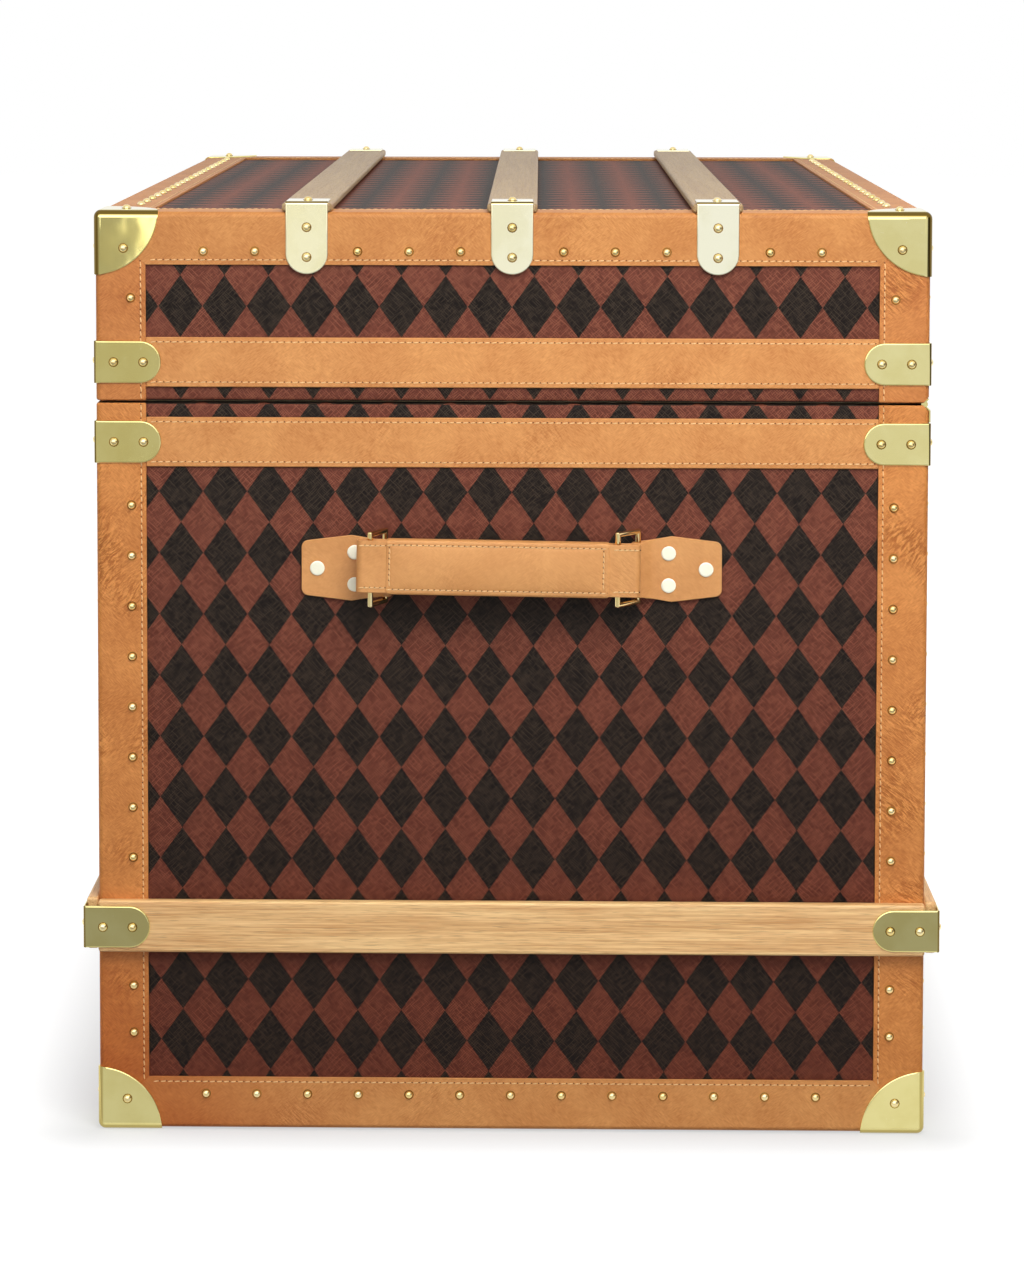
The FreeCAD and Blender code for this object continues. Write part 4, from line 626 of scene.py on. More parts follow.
def roll_end(piece, level):
    """Round the outer edge of an upright strip where it ends at the seam."""
    def outer(edge):
        x, y, z = map(abs, middle_of(edge))
        past_x, past_y = x - HALF_LENGTH + FOLD, y - HALF_WIDTH + FOLD
        bent = past_x > 0 and past_y > 0 and math.hypot(past_x, past_y) > FOLD - 0.3
        return near(z, level) and near(edge.verts[0].co.z, edge.verts[1].co.z, 0.00001) and (
            x > HALF_LENGTH - 0.1 or y > HALF_WIDTH - 0.1 or bent)
    choose(piece, "EDGE", outer)
    bend(SEAM_ROUND, 4)


def hinge_cut(piece, way):
    """Take off the corner that the hinge lies in; way is 1 below the seam and -1 above it."""
    choose_all(piece)
    angle = math.radians(HINGE_HALF_ANGLE)
    slope = Vector((0, math.sin(angle), way * math.cos(angle)))
    through = Vector((0, HINGE_Y, SEAM)) - slope * HINGE_CUT
    bpy.ops.mesh.bisect(plane_co=through * MM, plane_no=slope, use_fill=True, clear_outer=True)


def upright_strips(name, end, seam, up):
    """The leather on the four upright edges, from its mitred end to the seam."""
    parts = []
    for x, y in CORNERS:
        part = leather_angle((x * HALF_LENGTH, y * HALF_WIDTH, end),
                             (x * (HALF_LENGTH - STRIP), y * (HALF_WIDTH - END_STRIP), seam),
                             ((x, 0, 0), (0, y, 0)), 2, ((end, up),))
        roll_end(part, seam)
        if y > 0:
            hinge_cut(part, up)
        parts.append(soften(part, SOFT_EDGE))
    return joined(name, parts)


def level_strips(name, level, up):
    """The leather on the four level edges of the foot or the top."""
    parts = []
    for side in (-1, 1):
        parts.append(leather_angle((side * HALF_LENGTH, -HALF_WIDTH, level),
                                   (side * (HALF_LENGTH - STRIP), HALF_WIDTH, level + up * STRIP),
                                   ((side, 0, 0), (0, 0, -up)), 1, ((-HALF_WIDTH, 1), (HALF_WIDTH, -1))))
        parts.append(leather_angle((-HALF_LENGTH, side * HALF_WIDTH, level),
                                   (HALF_LENGTH, side * (HALF_WIDTH - STRIP), level + up * STRIP),
                                   ((0, side, 0), (0, 0, -up)), 0, ((-HALF_LENGTH, 1), (HALF_LENGTH, -1))))
    return joined(name, [soften(part, SOFT_EDGE) for part in parts])


def round_about(name, low, high, inner, outer, reach_y, reach_x, edge, segments=2):
    """Two end and two side pieces between two levels; inner and outer are measured from the leather."""
    ends, sides = [], []
    for side in (-1, 1):
        ends.append(block(name, (side * (HALF_LENGTH + inner), -reach_y, low),
                          (side * (HALF_LENGTH + outer), reach_y, high)))
        sides.append(block(name, (-reach_x, side * (HALF_WIDTH + inner), low),
                           (reach_x, side * (HALF_WIDTH + outer), high)))
    for part in ends + sides:
        soften(part, edge, segments)
    return ends, sides


def bands(name, low, high):
    ends, sides = round_about(name, low, high, -HIDE, 0, HALF_WIDTH - END_STRIP, HALF_LENGTH - STRIP,
                              SOFT_EDGE)
    return joined(name, ends + sides)


# ---- slats

SLAT_EDGE = 2.0


def belts():
    ends, sides = round_about("belt", BELT - BELT_HALF, BELT + BELT_HALF, 0, BELT_DEEP, HALF_WIDTH - BELT_GAP,
                              HALF_LENGTH - BELT_GAP, SLAT_EDGE, 3)
    return joined("end_belts", ends), joined("side_belts", sides)


def lid_slat(name, y):
    slat = block(name, (-HALF_LENGTH, y - SLAT_HALF, HEIGHT), (HALF_LENGTH, y + SLAT_HALF, HEIGHT + SLAT_DEEP))
    return soften(slat, SLAT_EDGE, 3)


# ---- brass plates

def sheet_metal(piece, rim, faces_out):
    """Thicken a plate and roll its sharp outer rim; faces_out has the axis and place of each outer face."""
    def outer_rim(edge):
        middle = middle_of(edge)
        sharp = len(edge.link_faces) == 2 and edge.calc_face_angle() > math.radians(50)
        return sharp and any(near(middle[axis], place, 0.03) for axis, place in faces_out)
    choose(piece, "EDGE", outer_rim)
    bend(rim, 4)
    return soften(piece, 0.2, 2, mirror=True)


def corner_plates(name, proud, low, finishes):
    """Angle plates with half-round ends on the four upright edges."""
    parts = []
    for x, y in CORNERS:
        out_x, out_y = x * (HALF_LENGTH + proud + SHEET), y * (HALF_WIDTH + proud + SHEET)
        part = outer_shell("plate", (out_x, out_y, low),
                           (out_x - x * PLATE_REACH, out_y - y * PLATE_REACH, low + PLATE_TALL),
                           ((x, 0, 0), (0, y, 0)))
        choose(part, "VERT", lambda corner: len(corner.link_faces) == 1)
        bend(PLATE_TALL / 2 - 0.05, 12, "VERTICES")
        round_folds(part, BRASS_FOLD, 4, finishes)
        thicken(part, SHEET)
        parts.append(sheet_metal(part, 0.9, ((0, out_x), (1, out_y))))
    return joined(name, parts)


def corner_caps(name, level, up, finishes):
    """Three-sided corners, each face a quarter circle about the trunk's corner."""
    parts, past = [], CAP_REACH + 4
    for x, y in CORNERS:
        tip = (x * (HALF_LENGTH + SHEET), y * (HALF_WIDTH + SHEET), level)
        part = outer_shell("cap", tip, (tip[0] - x * past, tip[1] - y * past, level + up * past),
                           ((x, 0, 0), (0, y, 0), (0, 0, -up)))
        round_folds(part, FOLD + SHEET, 6, finishes)
        thicken(part, SHEET)
        put_down()
        bpy.ops.mesh.primitive_uv_sphere_add(segments=96, ring_count=64, radius=CAP_REACH * MM,
                                             location=[place * MM for place in tip])
        ball = keep("ball")
        settle(part, "BOOLEAN", operation="INTERSECT", object=ball, solver="EXACT")
        discard(ball)
        parts.append(sheet_metal(part, 0.9, tuple(enumerate(tip))))
    return joined(name, parts)


def slat_tips(name, finishes):
    parts = []
    top, foot = HEIGHT + SLAT_DEEP + SHEET, HEIGHT - TIP_DROP
    for side in (-1, 1):
        for y in SLAT_ROWS:
            out_x = side * (HALF_LENGTH + SHEET)
            part = outer_shell("tip", (out_x, y - TIP_HALF, foot),
                               (side * (HALF_LENGTH - TIP_REACH), y + TIP_HALF, top), ((side, 0, 0), (0, 0, 1)))
            choose(part, "VERT", lambda corner: near(corner.co.z / MM, foot))
            bend(TIP_HALF - 0.1, 12, "VERTICES")
            round_folds(part, BRASS_FOLD, 4, finishes)
            thicken(part, SHEET)
            parts.append(sheet_metal(part, 0.7, ((0, out_x), (2, top))))
    return joined(name, parts)


# ---- nails and rivets

COLLAR = 0.45
DOMED = ("nail_brass", "brass_rim_painted_shade")
NAIL_PITCH, NAIL_RUN, LOW_NAILS = 33.9, (185.0, 421.3), (66.4, 98.3)
FOOT_NAILS, LID_NAIL, TOP_NAILS, TOP_NAIL_Y = 25.0, 559.0, 590.0, 253.0
PLATE_RIVETS, CAP_RIVET, BASE_CAP_RIVET, LID_CAP_RIVET = (13.2, 32.8), 20, 21.5, 24
CLAMP_RIVETS, TIP_RIVETS, TIP_RIVET_BACK = (463.5, 516.5), (10.0, 29.7), 14
BRACKETS, BRACKET_RIVET, BRACKET_RIVET_Z = (-240.0, 0.0, 240.0), 10.0, 522.0


def nail_head(name, radius, rise):
    """A domed head with a thin collar in painted shade, at the origin and facing up."""
    dome, sunk = radius - COLLAR, 0.25
    put_down()
    bpy.ops.mesh.primitive_uv_sphere_add(segments=12, ring_count=8, radius=MM, scale=(dome, dome, rise))
    head = keep(name)
    choose(head, "VERT", lambda corner: corner.co.z < -1e-6)
    bpy.ops.mesh.delete(type="VERT")
    choose(head, "EDGE", lambda edge: edge.is_boundary)
    bpy.ops.mesh.extrude_region_move()
    bpy.ops.transform.resize(value=(radius / dome, radius / dome, 1), center_override=(0, 0, 0))
    bpy.ops.mesh.extrude_region_move(TRANSFORM_OT_translate={"value": (0, 0, -sunk * MM)})
    choose_all(head)
    bpy.ops.transform.translate(value=(0, 0, 0.2 * MM))
    smooth(head, 50)
    for finish in DOMED:
        head.data.materials.append(LOOKS[finish])
    # The collar takes the dark brass: painted shade where the head meets the leather.
    for face in head.data.polygons:
        face.material_index = int(face.center.z < 0.21 * MM)
    return head


def set_down(template, place, facing, lean=0.0):
    """A copy of a small piece, standing at a place and facing a way."""
    turn = Vector((0, 0, 1)).rotation_difference(Vector(facing)).to_matrix().to_4x4()
    return placed(another(template), Matrix.Translation(Vector(place) * MM) @ turn @ spin(lean))


def run_of(template, start, step, count, facing, lean=0.0):
    """A straight row of copies, one every step."""
    row = set_down(template, start, facing, lean)
    settle(row, "ARRAY", count=count, use_relative_offset=False, use_constant_offset=True,
           constant_offset_displace=Vector(step) * MM)
    return row


def row_between(template, first, last, pitch, facing, lean=0.0):
    """As many copies as fit between two places at about the pitch."""
    first, last = Vector(first), Vector(last)
    count = max(2, round((last - first).length / pitch) + 1)
    return run_of(template, first, (last - first) / (count - 1), count, facing, lean)


def upright_sides():
    """Each side's half width, its place across and up as a function, and the way it faces."""
    for side in (-1, 1):
        yield HALF_WIDTH, lambda across, up: (side * HALF_LENGTH, across, up), (side, 0, 0)
        yield HALF_LENGTH, lambda across, up: (across, side * HALF_WIDTH, up), (0, side, 0)


def nail_rows():
    """Nails round each face of the body and the lid, on the leather."""
    nail = nail_head("nail", 3.2, 2.3)
    body, lid = [], []
    for wide, spot, facing in upright_sides():
        on_end = wide == HALF_WIDTH
        reach, pitch = (203.5, NAIL_PITCH) if on_end else (323.9, 34.1)
        for across in (-251.6, 252.2) if on_end else (-378.0, 378.0):
            for up in LOW_NAILS:
                body.append(set_down(nail, spot(across, up), facing))
            low, high = NAIL_RUN
            body.append(row_between(nail, spot(across, low), spot(across, high), NAIL_PITCH, facing))
            lid.append(set_down(nail, spot(across, LID_NAIL), facing))
        body.append(row_between(nail, spot(-reach, FOOT_NAILS), spot(reach, FOOT_NAILS), pitch, facing))
        if on_end:
            steps = round(2 * reach / pitch)
            for number in range(steps + 1):
                across = 2 * reach * number / steps - reach
                if min(abs(across - row) for row in SLAT_ROWS) > SLAT_HALF - 0.5:
                    lid.append(set_down(nail, spot(across, TOP_NAILS), facing))
        else:
            lid.append(row_between(nail, spot(-reach, TOP_NAILS), spot(reach, TOP_NAILS), pitch, facing))
            y = facing[1] * TOP_NAIL_Y
            lid.append(row_between(nail, (-reach, y, HEIGHT), (reach, y, HEIGHT), pitch, (0, 0, 1)))
    discard(nail)
    return joined("body_nails", body), joined("lid_nails", lid)


def rivet_heads():
    """Rivets of the brass plates, caps and straps, where the CAD heads are."""
    head = nail_head("rivet", 3.3, 2.2)
    body, lid = [], []
    rows = [(body, CLAMP_RIVETS[0], SHEET, PLATE_RIVETS), (body, BELT, SHEET + BELT_DEEP, PLATE_RIVETS),
            (lid, CLAMP_RIVETS[1], SHEET, PLATE_RIVETS), (body, BASE_CAP_RIVET, SHEET, (CAP_RIVET,)),
            (lid, HEIGHT - LID_CAP_RIVET, SHEET, (CAP_RIVET,))]
    for x, y in CORNERS:
        for parts, level, proud, backs in rows:
            out_x, out_y = HALF_LENGTH + proud, HALF_WIDTH + proud
            for back in backs:
                parts.append(set_down(head, (x * out_x, y * (out_y - back), level), (x, 0, 0)))
                parts.append(set_down(head, (x * (out_x - back), y * out_y, level), (0, y, 0)))
        inset = SHEET - CAP_RIVET
        lid.append(set_down(head, (x * (HALF_LENGTH + inset), y * (HALF_WIDTH + inset), HEIGHT + SHEET),
                            (0, 0, 1)))
    for x in (-1, 1):
        for y in SLAT_ROWS:
            for drop in TIP_RIVETS:
                lid.append(set_down(head, (x * (HALF_LENGTH + SHEET), y, HEIGHT - drop), (x, 0, 0)))
            lid.append(set_down(head, (x * (HALF_LENGTH - TIP_RIVET_BACK), y, HEIGHT + SLAT_DEEP + SHEET),
                                (0, 0, 1)))
    for middle in BRACKETS:
        for side in (-BRACKET_RIVET, BRACKET_RIVET):
            lid.append(set_down(head, (middle + side, -HALF_WIDTH - SHEET, BRACKET_RIVET_Z), (0, -1, 0)))
    discard(head)
    return joined("body_rivet_heads", body), joined("lid_rivet_heads", lid)


# ---- stitches

PITCH, STITCH_LEAN, STITCH_EDGE, STITCH_END = 4.7, 7, 3.2, 3


def stitch():
    """One stitch along X with the hole it leaves by, a dark disc of painted shade, at the origin and facing up.
    """
    put_down()
    bpy.ops.mesh.primitive_uv_sphere_add(segments=6, ring_count=6, radius=MM, rotation=(0, math.radians(90), 0),
                                         scale=(0.38, 0.4, 1.75))
    thread = keep("thread")
    thread.data.materials.append(LOOKS["waxed_thread"])
    thread.data.materials.append(LOOKS["stitch_hole_painted_shade"])
    bpy.ops.object.shade_smooth()
    put_down()
    # The hole is a flat dark disc on the leather: painted shade.
    bpy.ops.mesh.primitive_circle_add(vertices=6, radius=0.5 * MM, fill_type="NGON",
                                      location=(PITCH / 2 * MM, 0, 0.04 * MM))
    hole = keep("hole")
    hole.data.materials.append(LOOKS["stitch_hole_painted_shade"])
    return joined("stitch", [thread, hole])


def seam_run(template, first, last, facing, pitch=PITCH):
    """A row of stitches from one point to another, leaning a little in the row."""
    flat = Vector((0, 0, 1)).rotation_difference(Vector(facing))
    along = flat.inverted() @ (Vector(last) - Vector(first)).normalized()
    lean = math.degrees(math.atan2(along.y, along.x)) + STITCH_LEAN
    return row_between(template, first, last, pitch, facing, lean)


def stitching():
    mould = stitch()
    body, lid = [], []
    gap = STRIP - STITCH_EDGE
    for wide, spot, facing in upright_sides():
        edge = wide - gap + (STRIP - END_STRIP if wide == HALF_WIDTH else 0)
        reach = wide - STRIP - STITCH_END
        off_seam = 17 if facing == (0, 1, 0) else STITCH_END
        for across in (-edge, edge):
            for parts, low, high in ((body, FOOT + gap + STITCH_END, MOUTH - off_seam),
                                     (lid, RIM + off_seam, HEIGHT - gap - STITCH_END)):
                parts.append(seam_run(mould, spot(across, low), spot(across, high), facing))
        levels = [(body, FOOT + gap), (lid, HEIGHT - gap)]
        levels += [(body, BAND_LOW[0] + STITCH_EDGE), (body, BAND_LOW[1] - STITCH_EDGE),
                   (lid, BAND_HIGH[0] + STITCH_EDGE), (lid, BAND_HIGH[1] - STITCH_EDGE)]
        for parts, level in levels:
            parts.append(seam_run(mould, spot(-reach, level), spot(reach, level), facing))
    for side in (-1, 1):
        edge, reach = side * (HALF_LENGTH - gap), HALF_WIDTH - STRIP - STITCH_END
        lid.append(seam_run(mould, (edge, -reach, HEIGHT), (edge, reach, HEIGHT), (0, 0, 1)))
        edge, reach = side * (HALF_WIDTH - gap), HALF_LENGTH - STRIP - STITCH_END
        lid.append(seam_run(mould, (-reach, edge, HEIGHT), (reach, edge, HEIGHT), (0, 0, 1)))
    discard(mould)
    return joined("body_stitching", body), joined("lid_stitching", lid)


# ---- canvas

TURNED_IN, MOUTH_ROUND = 9.8, 2.6


def canvas_cover(name, low, high, mouth):
    """The canvas over the body or the lid, turned in at the mouth with a soft bend."""
    x, y = HALF_LENGTH - HIDE, HALF_WIDTH - HIDE
    piece = block(name, (-x, -y, low), (x, y, high))
    choose(piece, "FACE", lambda face: near(middle_of(face).z, mouth))
    bpy.ops.mesh.inset(thickness=TURNED_IN * MM, use_even_offset=True)
    bpy.ops.mesh.delete(type="FACE")
    choose(piece, "EDGE", lambda edge: near(middle_of(edge).z, mouth) and (
        near(abs(middle_of(edge).x), x) or near(abs(middle_of(edge).y), y)))
    bend(MOUTH_ROUND, 6)
    thicken(piece, CLOTH)
    hinge_cut(piece, 1 if mouth < SEAM else -1)
    smooth(piece, 40)
    return piece


# ---- end handles

ANCHOR_TIP, ANCHOR_LEVEL, ANCHOR_FACE = 139.0, 380.0, 401.2
BAR, BAR_WRAP = (402.4, 83.5), 4.2
FREE_BARS = {"taut": (420.27, -92.49), "slack": (417.12, 69.96)}
RING_LONG, RING_TALL, RING_WIRE, RING_MIDDLE = 20.0, 50.0, 1.7, 382.2
GRIP_PLACE, GRIP_TURN, GRIP_TIP = (*FREE_BARS["taut"], 384.8), 1.11, -1.0
PAD_LOW, PAD_HIGH = (-5.1, 9.8, -18.15), (5.5, 157.48, 18.15)
SEWN_LOW, SEWN_HIGH, SEAM_REACH, SEAM_DEPTH = (12.6, -14.7), (153.0, 14.6), 1.3, 0.42
STRAP_HALF, STRAP_TALL, LOOP_LONG, LOOP_ENDS = 4.5, 17.25, 26, (-9.2, 177.48)
LOOP_SEAMS, LOOP_SEAM_UP = ((-5.9, 7.7), (161.1, 174.4)), 13.9


def bent_strip(path):
    """A strip that follows a path; each point gives its place and the strip's half height there."""
    first, second = path[:2]
    piece = outer_shell("strip", (first[0] - 1, first[1], -first[2]), (first[0], second[1], first[2]),
                        ((1, 0, 0),))
    choose(piece, "EDGE", lambda edge: near(middle_of(edge).y, second[1], 0.01))
    bpy.ops.transform.resize(value=(1, 1, second[2] / first[2]), center_override=(0, 0, 0))
    for before, after in zip(path[1:], path[2:]):
        move = ((after[0] - before[0]) * MM, (after[1] - before[1]) * MM, 0)
        bpy.ops.mesh.extrude_region_move(TRANSFORM_OT_translate={"value": move})
        bpy.ops.transform.resize(value=(1, 1, after[2] / before[2]), center_override=(0, 0, 0))
    return piece


def anchor(side):
    """Six-sided leather end piece, folded round the ring's bar and back on itself."""
    path = [(ANCHOR_FACE, ANCHOR_TIP, 17.8), (ANCHOR_FACE, 106.0, 21.8), (ANCHOR_FACE, 97.0, 20.3),
            (401.5, 94.0, 19.8), (402.6, 91.3, 19.3), (404.3, 89.0, 18.9)]
    for turn in range(45, 271, 22):
        lean = math.radians(turn)
        path.append((BAR[0] + BAR_WRAP * math.sin(lean), BAR[1] + BAR_WRAP * math.cos(lean), 18.3))
    path += [(398.2, 92.0, 19.5), (398.2, 106.0, 21.8), (398.2, ANCHOR_TIP, 17.8)]
    piece = bent_strip([(out, side * along, tall) for out, along, tall in path])
    choose(piece, "VERT", lambda corner: near(abs(corner.co.y) / MM, ANCHOR_TIP) and corner.is_boundary)
    bend(4.0, 5, "VERTICES")
    thicken(piece, 1.45)
    return soften(piece, 0.55, 3, 40)


def ring():
    """Rectangular ring, its fixed bar at the origin and its free bar along X."""
    wire = RING_WIRE
    piece = block("ring", (-wire, -wire, -RING_TALL / 2), (RING_LONG + wire, wire, RING_TALL / 2))
    choose(piece, "FACE", lambda face: abs(face.normal.y) > 0.9)
    bpy.ops.mesh.inset(thickness=2 * wire * MM, use_even_offset=True)
    bpy.ops.mesh.bridge_edge_loops()
    return soften(piece, 1.15, 4, 30)


def ring_place(name):
    """Swung out about its fixed bar until its free bar is where the strap pulls it."""
    free = Vector(FREE_BARS[name])
    fixed = Vector((BAR[0], math.copysign(BAR[1], free.y)))
    swing = math.degrees(math.atan2(free.y - fixed.y, free.x - fixed.x))
    return Matrix.Translation(Vector((*fixed, RING_MIDDLE)) * MM) @ spin(swing)


def strap_loops():
    """The strap's two ends, folded round the bars of the rings."""
    parts = []
    for end, inward in zip(LOOP_ENDS, (1, -1)):
        part = outer_shell("loop", (-STRAP_HALF, end, -STRAP_TALL),
                           (STRAP_HALF, end + inward * LOOP_LONG, STRAP_TALL),
                           ((1, 0, 0), (-1, 0, 0), (0, -inward, 0)))
        round_folds(part, STRAP_HALF - 0.1, 9)
        thicken(part, 1.3)
        parts.append(soften(part, 0.5, 3))
    return joined("strap_loops", parts)


def off_seam(corner):
    """How far outside the sewn line of the pad a corner lies; below 0 is inside."""
    _, across, up = corner.co / MM
    return max(SEWN_LOW[0] - across, across - SEWN_HIGH[0], SEWN_LOW[1] - up, up - SEWN_HIGH[1])


def grip_pad():
    """The padded cover of the grip, swelled inside its stitched line, which is then drawn in."""
    low, high = Vector(PAD_LOW), Vector(PAD_HIGH)
    pad = block("grip_pad", (low.x + 0.4, low.y, low.z), (high.x - 0.1, high.y, high.z))
    settle(pad, "BEVEL", width=1.5 * MM, segments=3, limit_method="ANGLE")
    settle(pad, "REMESH", mode="VOXEL", voxel_size=1.5 * MM)
    swell(pad, [corner.index for corner in pad.data.vertices if off_seam(corner) > -0.8], 3.0, 1.3)
    settle(pad, "SUBSURF", levels=1, render_levels=1)
    for corner in pad.data.vertices:
        away = abs(off_seam(corner))
        if corner.co.x > 0 and away < SEAM_REACH:
            corner.co.x -= SEAM_DEPTH * MM * (1 - away / SEAM_REACH)
    hold(pad)
    bpy.ops.object.shade_smooth()
    return pad


def scaled(piece, factor):
    hold(piece)
    bpy.ops.transform.resize(value=(factor, factor, factor), center_override=(0, 0, 0))
    settle_place(piece)


def swell(piece, sewn, pressure, most, grow=20, frames=20):
    """Blow a closed cover up like a cushion, at a larger scale, and limit how far it moves."""
    scaled(piece, grow)
    held = piece.vertex_groups.new(name="sewn_down")
    held.add(sewn, 1.0, "REPLACE")
    before = [corner.co.copy() for corner in piece.data.vertices]
    cloth = piece.modifiers.new("swell", "CLOTH")
    cloth.settings.effector_weights.gravity = 0
    cloth.settings.use_pressure = True
    cloth.settings.uniform_pressure_force = pressure
    cloth.settings.vertex_group_mass = "sewn_down"
    for step in range(1, frames + 1):
        bpy.context.scene.frame_set(step)
    bpy.ops.object.modifier_apply(modifier="swell")
    bpy.context.scene.frame_set(1)
    limit = most * grow * MM
    for corner, start in zip(piece.data.vertices, before):
        move = corner.co - start
        if move.length > limit:
            corner.co = start + move * (limit / move.length)
    piece.vertex_groups.clear()
    scaled(piece, 1 / grow)


def handle_stitches():
    """Stitches round the pad and along the edges of both loops, in the grip's own frame."""
    mould, front, level, short = stitch(), (1, 0, 0), PAD_HIGH[0] - 0.3, 3.9
    (left, low), (right, high) = SEWN_LOW, SEWN_HIGH
    seams = [((level, left, up), (level, right, up), 3.9) for up in (low, high)]
    seams += [((level, end, low + short), (level, end, high - short), 3.9) for end in (left, right)]
    seams += [((STRAP_HALF, start, up), (STRAP_HALF, end, up), 3.7)
              for start, end in LOOP_SEAMS for up in (-LOOP_SEAM_UP, LOOP_SEAM_UP)]
    parts = [seam_run(mould, start, end, front, pitch) for start, end, pitch in seams]
    discard(mould)
    return joined("handle_stitching", parts)


def flat_rivets():
    """Pale flat heads with a gold rim."""
    put_down()
    bpy.ops.mesh.primitive_cylinder_add(vertices=32, radius=4.9 * MM, depth=0.8 * MM,
                                        location=(0, 0, 0.4 * MM))
    head = keep("flat_head")
    choose(head, "FACE", lambda face: face.normal.z > 0.9)
    bpy.ops.mesh.inset(thickness=0.9 * MM)
    bpy.ops.transform.translate(value=(0, 0, 0.4 * MM))
    put_down()
    for finish in ("gold_rim", "cream_enamel"):
        head.data.materials.append(LOOKS[finish])
    for face in head.data.polygons:
        face.material_index = int(face.normal.z > 0.9)
    soften(head, 0.12, 2, 20)
    parts = [set_down(head, (x * ANCHOR_FACE, side * along, up), (x, 0, 0))
             for x in (-1, 1) for along, up in ((128.5, 380.0), (103.8, 390.7), (103.8, 369.3))
             for side in (-1, 1)]
    discard(head)
    return joined("handle_rivet_heads", parts)


def handles():
    """Both handles: anchors on the trunk, two rings and the padded grip each."""
    grip_parts = (("pad", grip_pad(), "handle_leather"), ("loops", strap_loops(), "handle_leather"),
                  ("stitching", handle_stitches(), None))
    level = Matrix.Translation((0, 0, ANCHOR_LEVEL * MM))
    grip_place = Matrix.Translation(Vector(GRIP_PLACE) * MM) @ spin(GRIP_TURN) @ spin(GRIP_TIP, "X")
    for side, turn in (("right", spin(0)), ("left", spin(180))):
        ends = joined(f"{side}_anchor_leather", [placed(anchor(end), turn @ level) for end in (-1, 1)])
        finished(ends, "trunk", "leather", "handle_leather", f"{side}_handle_anchors")
        for name in FREE_BARS:
            bar = joined(f"{side}_{name}_ring_bar", [placed(ring(), turn @ ring_place(name))])
            finished(bar, f"{side}_{name}_ring", "brass", "nail_brass", f"{side}_handle_{name}_ring")
        for name, mould, look in grip_parts:
            part = joined(f"{side}_grip_{name}", [placed(another(mould), turn @ grip_place)])
            finished(part, f"{side}_grip", "leather", look, *[f"{side}_handle_grip"] * (name == "pad"))
            name == "pad"
    for _, mould, _ in grip_parts:
        discard(mould)
    finished(flat_rivets(), "trunk", "brass", None, "handle_rivets")


# ---- fittings

# Fittings of the frame by slot and look, each with its body and how far its edges are eased.
FITTINGS = (
    ("brass", "polished_brass", (
        ("hinge_leaf_body", "trunk", 0.25), ("hinge_leaf_lid", "lid", 0.25), ("lock_case", "trunk", 0.7),
        ("side_catches", "trunk", 0.6), ("hasp_brackets", "lid", 0.3), ("hasp_pins", "lid", 0.15),
        ("centre_hasp", "centre_hasp", 0.45), ("right_hasp", "right_hasp", 0.45),
        ("left_hasp", "left_hasp", 0.45), ("lock_bolt", "bolt", 0.2))),
    ("brass", "nail_brass", (("key_cylinder", "key", 0.15),)),
    ("board", "board_along", (("tray_walls", "tray", 1.0), ("tray_ledges", "trunk", 1.0))),
    ("leather", "handle_leather", (("tray_pulls", "tray", 0.5),)))

# Looks of the frame's nodes that stay in sight.
PLAIN = {
    "board_along": ("body_front_panel", "body_back_panel", "body_bottom_panel", "lid_front_panel",
                    "lid_back_panel", "lid_top_panel"),
    "board_across": ("body_end_panels", "lid_end_panels"),
    "lining_cloth": ("body_lining", "lid_lining", "closing_lip", "tray_bottom"),
    "polished_brass": ("hinge_pin",),
}


def refined(node, width):
    """A copy of a fitting that keeps its shape, with its sharp edges eased."""
    piece = joined(node + "_eased", [another(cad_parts[node])])
    for key in list(piece.keys()):
        del piece[key]
    choose_all(piece)
    bpy.ops.mesh.remove_doubles(threshold=0.00001)
    bpy.ops.mesh.dissolve_limited(angle_limit=math.radians(0.5))
    return soften(piece, width, 2, 40)


def dress_frame():
    for look, names in PLAIN.items():
        for name in names:
            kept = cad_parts[name].data.materials
            kept.clear()
            kept.append(LOOKS[look])


